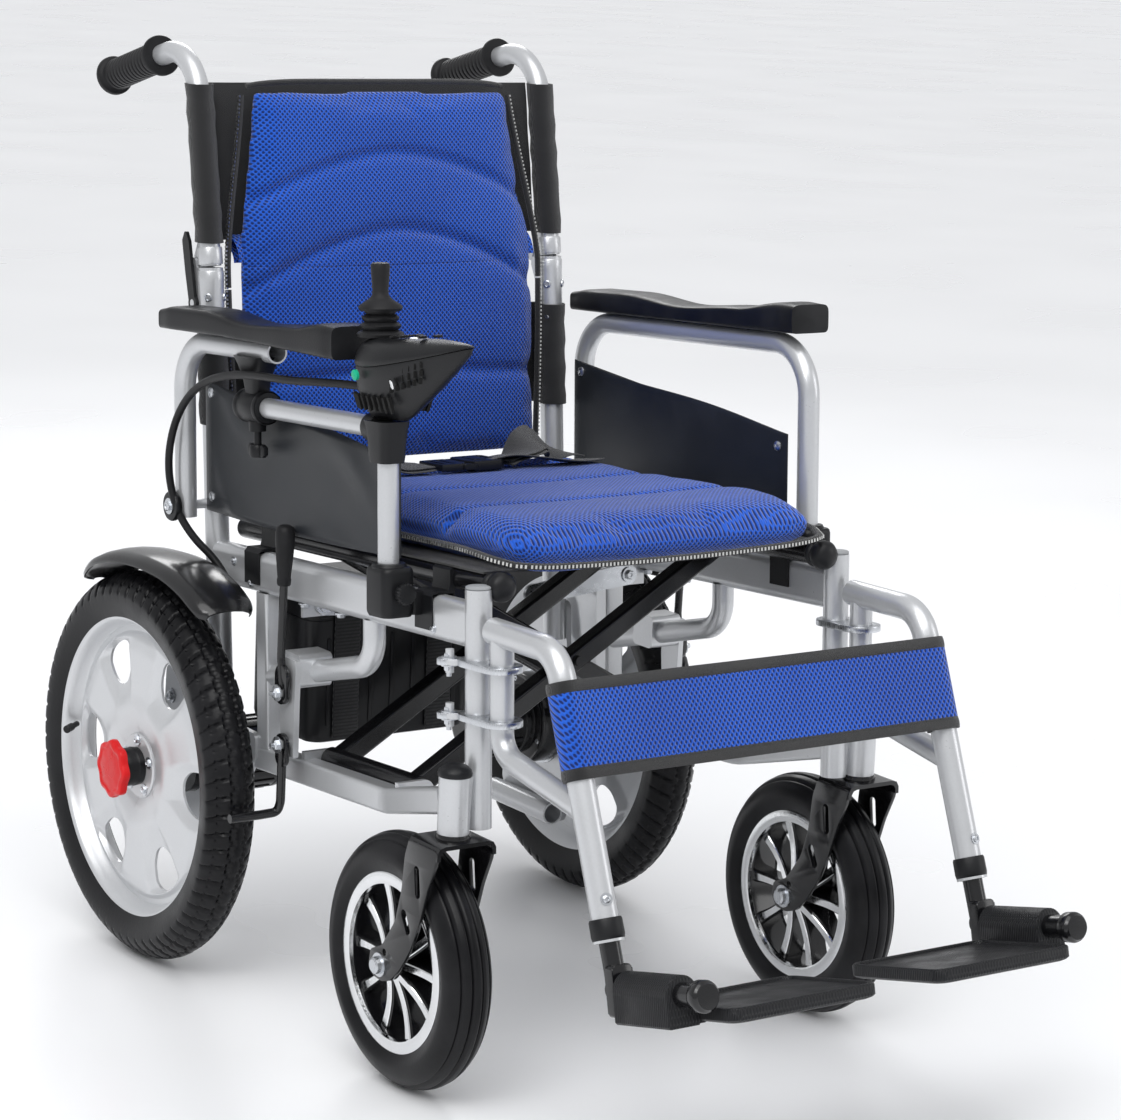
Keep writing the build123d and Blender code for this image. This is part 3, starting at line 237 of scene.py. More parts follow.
def meshFabric(name, plane):
    """Royal blue spacer mesh: a knitted face with small holes in staggered rows, painted near black as painted shade
    inside them.
    """
    finish, shader, place = newFinish(name, Sheen_Weight=.35, Sheen_Roughness=.4, Specular_IOR_Level=.25)
    x, y, z = axes(place)
    run = {"back": z * 1.01 + y * .12, "seat": y - z, "strap": z * 1.02 - y * .4}[plane]
    wobble = (noise(place, 60, 2) - .5) * .0008
    dots = hexDots(x + wobble, run + wobble, .0052, .0056)
    hole = dots.ramp(.18, .30, 1.0, 0.0)
    rib = dots.ramp(.28, .50)
    cloud = noise(place, 5, 4)
    thread = noise(place, 2400, 2)
    knitTone = mixShade(cloud.ramp(.3, .7) * .5 + thread * .3, (.005, .070, .46), (.012, .135, .76))
    # the holes are painted near black: painted shade inside them, while the bump only dents them a little
    feed(shader, Base_Color=mixShade(hole * .88, knitTone, (.001, .006, .07)),
         Roughness=hole * .2 + .55, Normal=bump(rib * .7 - hole * .9 + thread * .12, .0011, .9))
    return finish


def treadFinish(name, shade):
    finish, shader, place = newFinish(name, Specular_IOR_Level=.3)
    x, y, z = axes(place)
    dots = hexDots(x, y, .0034, .0030).ramp(.16, .34, 1.0, 0.0)
    cloud = noise(place, 40, 4)
    # the raised dots are painted lighter, a painted highlight on their tops; the noise cloud adds random tone
    feed(shader, Base_Color=mixShade(dots * .5 + cloud * .3, shade, tuple(c * 2.4 for c in shade)),
         Roughness=cloud.ramp(.3, .7, .30, .46), Normal=bump(dots, .0009))
    return finish


def wovenFinish(name, shade, pitch=.0011, rough=.72, sheen=.25, along="xz"):
    finish, shader, place = newFinish(name, Sheen_Weight=sheen, Specular_IOR_Level=.25)
    x, y, z = axes(place)
    first, second = (x, z + y) if along == "xz" else (x + y * .3, y - z * .2)
    warp = (first * (math.tau / pitch)).sine()
    weft = (second * (math.tau / pitch)).sine()
    weave = warp * weft
    cloud = noise(place, 24, 4)
    feed(shader, Base_Color=mixShade(weave * .25 + cloud * .6, shade, tuple(c * 2.2 + .004 for c in shade)),
         Roughness=cloud.ramp(.3, .7, rough - .08, rough + .08), Normal=bump(weave * .5 + cloud * .6, .0005))
    return finish


finishes = {
    "silver_paint": paintFinish("silver powder coat", (.62, .63, .645), .55, .32, .2, .00001, 500, .02),
    "black_metal": paintFinish("black gloss paint", (.006, .006, .007), 0, .2, .12, .00001, 500, .03),
    "black_plastic": plasticFinish("black moulding", (.008, .0083, .0095), .36),
    "tyre_rubber": rubberFinish("tyre rubber", (.0055, .0055, .0065), .36),
    "silver_rim": paintFinish("silver wheel paint", (.66, .67, .685), .5, .36, .1),
    "red_plastic": plasticFinish("red cap", (.62, .010, .012), .33, .00004, 900),
    "black_rim": paintFinish("black wheel paint", (.006, .006, .007), 0, .16, .15, .00001, 400, .03),
    "grip_rubber": rubberFinish("soft black rubber", (.009, .009, .010), .45, 700),
    "pad_foam": rubberFinish("moulded foam skin", (.009, .0092, .0105), .36, 620),
    "panel_plastic": plasticFinish("skirt guard", (.016, .018, .0215), .36, .0001, 1500, .34, .6),
    "blue_mesh": meshFabric("blue spacer mesh", "back"),
    "zinc_steel": metalFinish("zinc plate", (.66, .68, .71), .28),
    "button_plastic": plasticFinish("grey button", (.33, .34, .35), .3),
    "cable_jacket": rubberFinish("cable jacket", (.012, .012, .013), .38, 900),
    "webbing": wovenFinish("black webbing", (.010, .010, .011), .0014, .6, .3, "xy"),
}
finishes.update({
    "seat_mesh": meshFabric("blue seat mesh", "seat"),
    "strap_mesh": meshFabric("blue strap mesh", "strap"),
    "sling": wovenFinish("black nylon sling", (.009, .009, .010), .0012, .66, .3),
    "binding": wovenFinish("black binding", (.008, .008, .009), .0010, .58, .3),
    "polished": metalFinish("polished alloy", (.86, .87, .88), .13, (300, 300, 300)),
    "zip_teeth": metalFinish("zip teeth", (.72, .72, .70), .22),
    "guard_gloss": paintFinish("glossy guard", (.008, .008, .009), 0, .22, .2, .00001, 300, .03),
    "lamp_green": plasticFinish("green lens", (.01, .36, .20), .2),
    "label_white": plasticFinish("white patch", (.82, .83, .84), .45),
    # near-black painted shade for the controller's vent openings
    "painted_vent_shade": plasticFinish("deep black", (.004, .004, .004), .7),
})

slotOf = {part["node"]: part["material_slot"] for part in record["subparts"]}
for name, node in nodes.items():
    node.data.materials.clear()
    node.data.materials.append(finishes[slotOf[name]])
print("stage: finishes")

# ---- floor, light and camera

stageSet = {"floor": 30.0, "floorShade": (.93, .935, .95), "sky": (.97, .98, 1.0), "skyPower": .60}
eye = {"yaw": -34.749, "pitch": 11.441, "roll": 2.409, "lens": 108.67,
       "place": (-1.8670, -2.6927, 1.1264)}


def makeStage():
    floor = bpy.data.meshes.new("floor")
    side = stageSet["floor"]
    floor.from_pydata([(-side, -side, 0), (side, -side, 0), (side, side, 0), (-side, side, 0)], [],
                      [(0, 1, 2, 3)])
    ground = bpy.data.objects.new("floor", floor)
    ground.location.z = -.0006
    bpy.context.collection.objects.link(ground)
    finish, shader, place = newFinish("pale floor", Specular_IOR_Level=.5)
    cloud = noise(place, 1.4, 3)
    feed(shader, Base_Color=mixShade(cloud, stageSet["floorShade"], (.95, .955, .965)),
         Roughness=cloud.ramp(.3, .7, .26, .34))
    floor.materials.append(finish)
    world = bpy.data.worlds.new("studio")
    world.use_nodes = True
    world.node_tree.nodes["Background"].inputs[0].default_value = (*stageSet["sky"], 1)
    world.node_tree.nodes["Background"].inputs[1].default_value = stageSet["skyPower"]
    bpy.context.scene.world = world


def makeLamp(name, place, target, size, power, shade=(1, 1, 1)):
    lamp = bpy.data.lights.new(name, "AREA")
    lamp.shape, lamp.size, lamp.size_y = "RECTANGLE", size[0], size[1]
    lamp.energy, lamp.color = power, shade
    holder = bpy.data.objects.new(name, lamp)
    holder.location = place
    holder.rotation_euler = (Vector(target) - Vector(place)).to_track_quat("-Z", "Y").to_euler()
    bpy.context.collection.objects.link(holder)


def makeSun(direction, power, spread):
    lamp = bpy.data.lights.new("sun", "SUN")
    lamp.energy, lamp.angle = power, math.radians(spread)
    holder = bpy.data.objects.new("sun", lamp)
    holder.rotation_euler = Vector(direction).to_track_quat("Z", "Y").to_euler()
    bpy.context.collection.objects.link(holder)


def makeCamera():
    a, e, r = (math.radians(eye[k]) for k in ("yaw", "pitch", "roll"))
    back = Vector((math.sin(a) * math.cos(e), -math.cos(a) * math.cos(e), math.sin(e)))
    right = upV.cross(back).normalized()
    over = back.cross(right)
    right, over = (right * math.cos(r) + over * math.sin(r), over * math.cos(r) - right * math.sin(r))
    lens = bpy.data.cameras.new("camera")
    lens.lens, lens.sensor_width, lens.sensor_fit = eye["lens"], 36, "HORIZONTAL"
    lens.clip_end = 100
    camera = bpy.data.objects.new("camera", lens)
    turn = Matrix((right, over, back)).transposed().to_4x4()
    camera.matrix_world = Matrix.Translation(eye["place"]) @ turn
    bpy.context.collection.objects.link(camera)
    bpy.context.scene.camera = camera


makeStage()
makeSun((-.30, -.42, 1), 1.45, 55)
makeLamp("key", (-2.6, -1.6, 3.0), (0, 0, .4), (1.6, 1.6), 34)
makeLamp("fill", (2.8, -2.2, 1.6), (0, 0, .5), (1.2, 1.8), 14)
makeLamp("rim", (1.4, 3.0, 2.4), (0, 0, .6), (1.6, 1.2), 26)
makeCamera()
bpy.context.scene.view_settings.view_transform = "Standard"
print("stage: floor, light, camera")

# ---- shaping

import numpy as np


class Shape:
    """Several closed forms gathered in one mesh."""
    def __init__(self):
        self.bm = bmesh.new()

    def rings(self, rows, around=True, caps=True):
        grid = [[self.bm.verts.new(p) for p in row] for row in rows]
        count = len(grid[0])
        for low, high in zip(grid, grid[1:]):
            for k in range(count if around else count - 1):
                n = (k + 1) % count
                self.bm.faces.new((low[k], low[n], high[n], high[k]))
        if caps and around:
            self.bm.faces.new(list(reversed(grid[0])))
            self.bm.faces.new(grid[-1])
        return self

    def tube(self, points, radius, sides=20, caps=True, squash=1.0, up=None):
        points = [Vector(p) for p in points]
        radii = radius if isinstance(radius, (list, tuple)) else [radius] * len(points)
        runs = [(b - a).normalized() for a, b in zip(points, points[1:])]
        side = (Vector(up) if up else runs[0].orthogonal()).normalized()
        rows = []
        for k, p in enumerate(points):
            before, after = runs[max(k - 1, 0)], runs[min(k, len(runs) - 1)]
            tangent = (before + after).normalized()
            side = (side - tangent * side.dot(tangent)).normalized()
            other = tangent.cross(side)
            rows.append([p + (side * math.cos(t) + other * math.sin(t) * squash) * radii[k]
                         for t in (math.tau * j / sides for j in range(sides))])
        return self.rings(rows, caps=caps)

    def lathe(self, profile, origin, axis, sides=32, close=False):
        """profile is (along the axis, out from it); a closed one joins its last point to its first."""
        origin, axis = Vector(origin), Vector(axis).normalized()
        side = axis.orthogonal().normalized()
        other = axis.cross(side)
        pts = list(profile) + ([profile[0]] if close else [])
        rows = [[origin + axis * a + (side * math.cos(t) + other * math.sin(t)) * max(r, 1e-5)
                 for t in (math.tau * j / sides for j in range(sides))] for a, r in pts]
        return self.rings(rows, caps=not close)

    def prism(self, outline, origin, xDir, yDir, thick, bevel=0.0, steps=2, centred=True):
        """A flat outline in its own plane, given a thickness along the plane's normal."""
        origin, xDir, yDir = Vector(origin), Vector(xDir).normalized(), Vector(yDir).normalized()
        normal = xDir.cross(yDir)
        base = origin - normal * (thick / 2 if centred else 0)
        low = [self.bm.verts.new(base + xDir * p[0] + yDir * p[1]) for p in outline]
        high = [self.bm.verts.new(v.co + normal * thick) for v in low]
        faces = [self.bm.faces.new(list(reversed(low))), self.bm.faces.new(high)]
        for k in range(len(low)):
            n = (k + 1) % len(low)
            faces.append(self.bm.faces.new((low[k], low[n], high[n], high[k])))
        if bevel:
            edges = {e for f in faces[:2] for e in f.edges}
            bmesh.ops.bevel(self.bm, geom=list(edges), offset=bevel, segments=steps, profile=.5,
                            affect="EDGES", clamp_overlap=True)
        return self

    def block(self, low, high, bevel=.001):
        low, high = Vector(low), Vector(high)
        size, middle = high - low, (low + high) / 2
        return self.prism(roundRect(size.x, size.y, min(size.x, size.y) * .2), middle, (1, 0, 0),
                          (0, 1, 0), size.z, bevel)

    def make(self, name, body, finish, slot, sharp=35, weld=1e-6):
        bmesh.ops.remove_doubles(self.bm, verts=self.bm.verts, dist=weld)
        bmesh.ops.recalc_face_normals(self.bm, faces=self.bm.faces)
        mesh = bpy.data.meshes.new(name)
        self.bm.to_mesh(mesh)
        self.bm.free()
        for face in mesh.polygons:
            face.use_smooth = True
        mesh.set_sharp_from_angle(angle=math.radians(sharp))
        mesh.materials.append(finishes[finish])
        piece = bpy.data.objects.new(name, mesh)
        bpy.context.collection.objects.link(piece)
        if body:
            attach(piece, body)
        return piece


def roundRect(width, height, radius, steps=5):
    out = []
    for cx, cy, start in ((1, 1, 0), (-1, 1, 90), (-1, -1, 180), (1, -1, 270)):
        for k in range(steps + 1):
            t = math.radians(start + 90 * k / steps)
            out.append((cx * (width / 2 - radius) + radius * math.cos(t),
                        cy * (height / 2 - radius) + radius * math.sin(t)))
    return out


def circle(radius, sides=24, cx=0.0, cy=0.0):
    return [(cx + radius * math.cos(math.tau * k / sides), cy + radius * math.sin(math.tau * k / sides))
            for k in range(sides)]


def curvePoints(points, count):
    """Points along a smooth line through the given ones."""
    pts = [Vector(p) for p in points]
    ends = [pts[0] * 2 - pts[1]] + pts + [pts[-1] * 2 - pts[-2]]
    out = []
    for k in range(count):
        f = k / (count - 1) * (len(pts) - 1)
        i = min(int(f), len(pts) - 2)
        t = f - i
        a, b, c, d = ends[i:i + 4]
        out.append(((b * 2) + (c - a) * t + (a * 2 - b * 5 + c * 4 - d) * t ** 2
                    + (b * 3 - a - c * 3 + d) * t ** 3) / 2)
    return out


def bent(points, radius, steps=8):
    """A tube's centre line with its corners turned on one radius."""
    pts = [Vector(p) for p in points]
    out = [pts[0]]
    for a, b, c in zip(pts, pts[1:], pts[2:]):
        d0, d1 = (a - b).normalized(), (c - b).normalized()
        angle = d0.angle(d1)
        reach = min(radius / math.tan(angle / 2), (a - b).length * .49, (c - b).length * .49)
        p0, p1 = b + d0 * reach, b + d1 * reach
        for k in range(steps + 1):
            t = k / steps
            out.append(p0 * (1 - t) ** 2 + b * 2 * t * (1 - t) + p1 * t * t)
    return out + [pts[-1]]


def plate(outlines, origin, xDir, yDir, thick, bevel=.0006):
    """A flat plate with real holes: the first outline is its edge and the others are cut out."""
    curve = bpy.data.curves.new("plate", "CURVE")
    curve.dimensions, curve.fill_mode = "2D", "BOTH"
    for outline in outlines:
        spline = curve.splines.new("POLY")
        spline.points.add(len(outline) - 1)
        for point, place in zip(spline.points, outline):
            point.co = (place[0], place[1], 0, 1)
        spline.use_cyclic_u = True
    curve.extrude = max(thick / 2 - bevel, 1e-5)
    curve.bevel_depth, curve.bevel_resolution, curve.offset = bevel, 1, -bevel
    holder = bpy.data.objects.new("plate", curve)
    bpy.context.collection.objects.link(holder)
    graph = bpy.context.evaluated_depsgraph_get()
    graph.update()
    mesh = bpy.data.meshes.new_from_object(holder.evaluated_get(graph))
    xDir, yDir = Vector(xDir).normalized(), Vector(yDir).normalized()
    turn = Matrix((xDir, yDir, xDir.cross(yDir))).transposed().to_4x4()
    mesh.transform(Matrix.Translation(origin) @ turn)
    bpy.data.objects.remove(holder)
    bpy.data.curves.remove(curve)
    return mesh


def addPlate(shape, *args, **more):
    mesh = plate(*args, **more)
    shape.bm.from_mesh(mesh)
    bpy.data.meshes.remove(mesh)


def shifted(outline, x, y, turn=0.0):
    c, s = math.cos(turn), math.sin(turn)
    return [(x + p[0] * c - p[1] * s, y + p[0] * s + p[1] * c) for p in outline]


def pillLong(radius, length):
    return [(p[0], p[1] + math.copysign(length / 2 - radius, p[1])) for p in circle(radius, 28)]


def puffed(piece, voxel, pressure, cap, frames=20):
    """Remeshes a closed fabric form and blows it up a little as cloth, then keeps the result."""
    scene = bpy.context.scene
    grain = piece.modifiers.new("grain", "REMESH")
    grain.mode, grain.voxel_size = "VOXEL", voxel
    keepShape(piece)
    rest = np.array([v.co for v in piece.data.vertices])
    cloth = piece.modifiers.new("cloth", "CLOTH")
    cloth.settings.use_pressure = True
    cloth.settings.uniform_pressure_force = pressure
    cloth.settings.effector_weights.gravity = 0
    cloth.settings.quality = 5
    cloth.point_cache.frame_start, cloth.point_cache.frame_end = 1, frames
    for f in range(1, frames + 1):
        scene.frame_set(f)
    keepShape(piece)
    scene.frame_set(1)
    now = np.array([v.co for v in piece.data.vertices])
    moved = now - rest
    far = np.linalg.norm(moved, axis=1, keepdims=True)
    now = rest + moved * np.minimum(1, cap / np.maximum(far, 1e-9))
    piece.data.vertices.foreach_set("co", now.astype(np.float32).ravel())
    piece.data.update()


def keepShape(piece):
    """Replaces the mesh by what its modifiers make of it."""
    graph = bpy.context.evaluated_depsgraph_get()
    graph.update()
    made = bpy.data.meshes.new_from_object(piece.evaluated_get(graph))
    made.name = piece.name
    piece.modifiers.clear()
    piece.data = made
    for face in made.polygons:
        face.use_smooth = True


def sewn(piece, lines, project, depth, width, facing):
    """Pulls the surface in along seams. Lines and points share the plane that project gives."""
    mesh = piece.data
    count = len(mesh.vertices)
    co, nor = np.zeros(count * 3, np.float32), np.zeros(count * 3, np.float32)
    mesh.vertices.foreach_get("co", co)
    mesh.vertices.foreach_get("normal", nor)
    co, nor = co.reshape(-1, 3).astype(float), nor.reshape(-1, 3).astype(float)
    flat = project(co)
    near = np.full(count, 1.0)
    for line in lines:
        for a, b in zip(line, line[1:]):
            a, b = np.array(a), np.array(b)
            run = b - a
            t = np.clip(((flat - a) @ run) / (run @ run), 0, 1)
            near = np.minimum(near, np.linalg.norm(flat - a - t[:, None] * run, axis=1))
    face = np.clip(nor @ np.array(facing) * 2.0, 0, 1)
    pull = depth * np.exp(-(near / width) ** 2) * face
    plump = depth * .35 * (1 - np.exp(-(near / (width * 4)) ** 2)) * face
    co += nor * (plump - pull)[:, None]
    mesh.vertices.foreach_set("co", co.astype(np.float32).ravel())
    mesh.update()


def smoothed(piece, levels=1):
    piece.modifiers.new("fine", "SUBSURF").levels = levels
    piece.modifiers["fine"].render_levels = levels
    keepShape(piece)


# ---- seat and back upholstery

seat = {"half": .187, "start": -.018, "end": .440, "low": .0495, "thick": .034, "round": .030,
        "voxel": .0055, "pressure": 4.0, "cap": .008, "seams": (.105, .235, .360)}
backRest = {"low": .507, "high": .903, "halfLow": .180, "halfHinge": .187, "halfTop": .158,
            "thick": .024, "voxel": .0055, "pressure": 4.0, "cap": .008, "bend": .030}


def slab(rows, columns, place, thick):
    """A closed cushion form; place(s, t, side) gives a point for s and t from -1 to 1."""
    def ease(v):
        return math.sin(v * math.pi / 2)
    shape = Shape()
    grids = []
    for side in (1, -1):
        grid = []
        for j in range(rows + 1):
            t = ease(-1 + 2 * j / rows)
            row = []
            for i in range(columns + 1):
                s = ease(-1 + 2 * i / columns)
                edge = min(1, (1 - abs(s) ** 14) ** .5, (1 - abs(t) ** 14) ** .5) if abs(s) < 1 and abs(t) < 1 else 0
                row.append(shape.bm.verts.new(place(s, t, side * edge * thick / 2)))
            grid.append(row)
        grids.append(grid)
    for grid, flip in zip(grids, (False, True)):
        for j in range(rows):
            for i in range(columns):
                quad = (grid[j][i], grid[j][i + 1], grid[j + 1][i + 1], grid[j + 1][i])
                shape.bm.faces.new(tuple(reversed(quad)) if flip else quad)
    return shape


def seatPoint(s, t, out):
    half = seat["half"] * (1 - .018 * (1 - abs(t)) * (1 if t > 0 else .4))
    corner = 1 - .06 * (abs(t) ** 12) * (1 if t < 0 else .4)
    u = (seat["start"] + seat["end"]) / 2 + (seat["end"] - seat["start"]) / 2 * t * (1 - .035 * abs(s) ** 10)
    drop = .010 * max(0, (seat["start"] + .09 - u) / .09) ** 2
    w = seat["low"] + seat["thick"] / 2 - drop + out + .004 * s * s
    return at(s * half * corner, u, w)


def backHalf(z):
    b = backRest
    if z < chair["hingeZ"]:
        f = (z - b["low"]) / (chair["hingeZ"] - b["low"])
        return b["halfLow"] + (b["halfHinge"] - b["halfLow"]) * math.sin(f * math.pi / 2)
    f = (z - chair["hingeZ"]) / (b["high"] - chair["hingeZ"])
    return b["halfHinge"] + (b["halfTop"] - b["halfHinge"]) * (f * f * (3 - 2 * f) * .45 + f * .55)


def backPoint(s, t, out):
    z = (backRest["low"] + backRest["high"]) / 2 + (backRest["high"] - backRest["low"]) / 2 * t
    z -= .006 * max(0, t) ** 8 * abs(s) ** 6
    y = backLine(z) - .013 - out + .010 * abs(s) ** 2.4 - .001
    return Vector((s * backHalf(z), y, z))


def upholstery():
    pad = slab(14, 12, seatPoint, seat["thick"]).make("seat_pad", None, "seat_mesh", "blue_mesh", 60)
    puffed(pad, seat["voxel"], seat["pressure"], seat["cap"])
    lines = [[(x, u + .012 * math.cos(x * 8)) for x in np.linspace(-.19, .19, 15)] for u in seat["seams"]]
    origin = np.array(at(0, 0, 0))
    sewn(pad, lines, lambda co: np.stack([co[:, 0], (co - origin) @ np.array(alongV)], 1),
         .0055, .0045, squareV)
    smoothed(pad)
    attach(pad, "seat")
    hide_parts("seat_cushion")
    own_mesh(pad)

    back = slab(14, 12, backPoint, backRest["thick"]).make("back_pad", None, "blue_mesh", "blue_mesh", 60)
    puffed(back, backRest["voxel"], backRest["pressure"], backRest["cap"])
    arches = []
    for foot, crown in ((.776, .836), (.690, .757)):
        arches.append([(x, crown - (crown - foot) * (abs(x) / .185) ** 1.75)
                       for x in np.linspace(-.19, .19, 25)])
    arches.append([(-.19, .600), (0, .612), (.19, .600)])
    sewn(back, arches, lambda co: co[:, [0, 2]], .0075, .005, (0, -1, .1))
    smoothed(back)
    halves = {}
    for name, above in (("back_pad_upper", True), ("back_pad_lower", False)):
        form = bmesh.new()
        form.from_mesh(back.data)
        geom = form.verts[:] + form.edges[:] + form.faces[:]
        cut = bmesh.ops.bisect_plane(form, geom=geom, plane_co=(0, 0, chair["hingeZ"]),
                                     plane_no=(0, 0, 1), clear_inner=above, clear_outer=not above)
        rim = [e for e in cut["geom_cut"] if isinstance(e, bmesh.types.BMEdge)]
        bmesh.ops.holes_fill(form, edges=rim, sides=0)
        mesh = bpy.data.meshes.new(name)
        form.to_mesh(mesh)
        form.free()
        for face in mesh.polygons:
            face.use_smooth = len(face.vertices) < 8
        mesh.materials.append(finishes["blue_mesh"])
        half = bpy.data.objects.new(name, mesh)
        bpy.context.collection.objects.link(half)
        halves[name] = half
    bpy.data.objects.remove(back)
    for name, body, node in (("back_pad_upper", "right_back", "back_cushion_upper"),
                             ("back_pad_lower", "right_frame", "back_cushion_lower")):
        half = halves[name]
        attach(half, body)
        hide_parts(node)
        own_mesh(half)

    # the bend of the fabric, which shows only when the back folds down
    pivot = Vector((0, chair["backY"] + .020, chair["hingeZ"]))
    half = backHalf(chair["hingeZ"]) - .006
    rows = []
    for k in range(13):
        t = math.radians(172 - 78 * k / 12)
        rows.append([pivot + Vector((x, math.cos(t) * backRest["bend"], math.sin(t) * backRest["bend"]))
                     for x in np.linspace(-half, half, 17)])
    for k in range(13):
        t = math.radians(94 + 78 * k / 12)
        rows.append([pivot + Vector((x, math.cos(t) * (backRest["bend"] - .012),
                                     math.sin(t) * (backRest["bend"] - .012)))
                     for x in np.linspace(-half, half, 17)])
    rows.append(rows[0])
    bend = Shape().rings(rows, around=False, caps=False).make("back_bend", "right_frame", "blue_mesh",
                                                              "blue_mesh", 60)
    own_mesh(bend)


def zipLine(name, points, out, body, teethPitch=.0042):
    """Black piping and the teeth that show along it."""
    cord = Shape().tube(points, .0032, 10).make(name + "_piping", body, "binding", "webbing")
    tape = Shape()
    rows = []
    for p, o in zip(points, out):
        o = Vector(o)
        rows.append([p + o * .0005 + q for q in (o * .0028, -o * .0065)])
    teeth = Shape()
    travelled, since = 0.0, 0.0
    for a, b, o in zip(points, points[1:], out):
        run = (b - a)
        length = run.length
        while since < length:
            p = a + run * (since / length)
            d, o2 = run.normalized(), Vector(o)
            n = d.cross(o2).normalized()
            teeth.prism([(-.0010, -.0016), (.0010, -.0016), (.0010, .0016), (-.0010, .0016)],
                        p + o2 * .0030, d, n, .0022)
            since += teethPitch
        since -= length
    teeth = teeth.make(name + "_teeth", body, "zip_teeth", "zinc_steel", 30)
    tape.bm.free()
    for piece in (cord, teeth):
        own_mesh(piece)


def trims():
    ring = [seatPoint(s, t, 0) for s, t in
            [(-1, t) for t in np.linspace(.96, -.90, 24)] + [(-.99, -.95), (-.975, -.985)]
            + [(s, -1) for s in np.linspace(-.95, .95, 24)] + [(.975, -.985), (.99, -.95)]
            + [(1, t) for t in np.linspace(-.90, .96, 24)]]
    lift = seat["cap"] * .55
    ring = [p + Vector((math.copysign(lift, p.x) if abs(p.x) > .17 else 0,
                        -lift if p.y < -.18 else 0, 0)) - squareV * .007 for p in ring]
    middle = at(0, .2, seat["low"])
    outs = []
    for k, p in enumerate(ring):
        run = (ring[min(k + 1, len(ring) - 1)] - ring[max(k - 1, 0)]).normalized()
        o = squareV.cross(run)
        outs.append(o if o.dot(p - middle) > 0 else -o)
    zipLine("seat", ring, outs, "seat")
    for sd in (-1, 1):
        for part, body, ts in (("upper", "right_back", np.linspace(-.035, .965, 26)),
                               ("lower", "right_frame", np.linspace(-.98, -.045, 22))):
            line = [backPoint(sd, t, 0) + Vector((sd * .004, .001, 0)) for t in ts]
            zipLine(f"back_{part}_{'left' if sd > 0 else 'right'}", line,
                    [Vector((sd * .9, -.43, 0))] * len(line), body)
    top = [backPoint(s, .995, 0) + Vector((0, .002, .004)) for s in np.linspace(-.985, .985, 24)]
    piping = Shape().tube(top, .0030, 10).make("back_top_piping", "right_back", "binding", "webbing")
    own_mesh(piping)


def slings():
    """Black nylon behind the back pad and under the seat pad, with its sleeves on the posts."""
    spans = {"upper": (.7445, .903, "right_back", "left_back", .0142),
             "lower": (.560, .668, "right_frame", "left_frame", .0155)}
    for part, (low, high, right, left, radius) in spans.items():
        zs = np.linspace(low, high, 12)
        for sd, body in ((-1, right), (1, left)):
            rows = []
            for z in zs:
                wrinkle = .0007 * math.sin(z * 190 + sd)
                rows.append([Vector((sd * chair["half"] + (radius + wrinkle) * math.cos(t),
                                     backLine(z) + (radius + wrinkle) * math.sin(t) * 1.02, z))
                             for t in (math.tau * j / 28 for j in range(28))])
            inner = [[Vector((sd * chair["half"] + (p.x - sd * chair["half"]) * .9,
                              backLine(z) + (p.y - backLine(z)) * .9, p.z)) for p in row]
                     for row, z in zip(rows, zs)]
            sleeve = Shape().rings(rows + inner[::-1] + [rows[0]], caps=False)
            sleeve.make(f"sling_{part}_sleeve_{'left' if sd > 0 else 'right'}", body, "sling",
                        "webbing", 50)
        rows = []
        for z in zs:
            xs = np.linspace(-.200, .200, 21)
            rows.append([Vector((x, backLine(z) + .0150 - .0012 * math.cos(x * 7) +
                                 .0006 * math.sin(x * 160 + z * 90), z)) for x in xs])
        behind = [[p + Vector((0, .0022, 0)) for p in row] for row in rows]
        loops = [a + b[::-1] for a, b in zip(rows, behind)]
        panel = Shape().rings(loops).make(f"sling_{part}", right, "sling", "webbing", 50)
        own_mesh(panel)
    us = np.linspace(.012, .452, 16)
    rows = []
    for u in us:
        top = [at(x, u, .0475 - .0042 * math.cos(x * 8)) for x in np.linspace(-.196, .196, 19)]
        under = [p - squareV * .0022 for p in top[::-1]]
        rows.append(top + under)
    panel = Shape().rings(rows).make("seat_sling", "seat", "sling", "webbing", 50)
    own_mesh(panel)

# ---- wheels

rearWheel = {"x": .2745, "y": .3425, "z": .203, "radius": .203, "width": .057, "rim": .158,
             "seat": .042, "blocks": 66, "groove": .0042}
casterWheel = {"x": .239, "y": -.1235, "z": .12275, "radius": .12275, "width": .050, "rim": .084,
               "seat": .034}


def wheelPoint(wheel, side, out, radius, angle):
    """out is away from the chair's middle."""
    return Vector((side * (wheel["x"] + out), wheel["y"] + radius * math.cos(angle),
                   wheel["z"] + radius * math.sin(angle)))


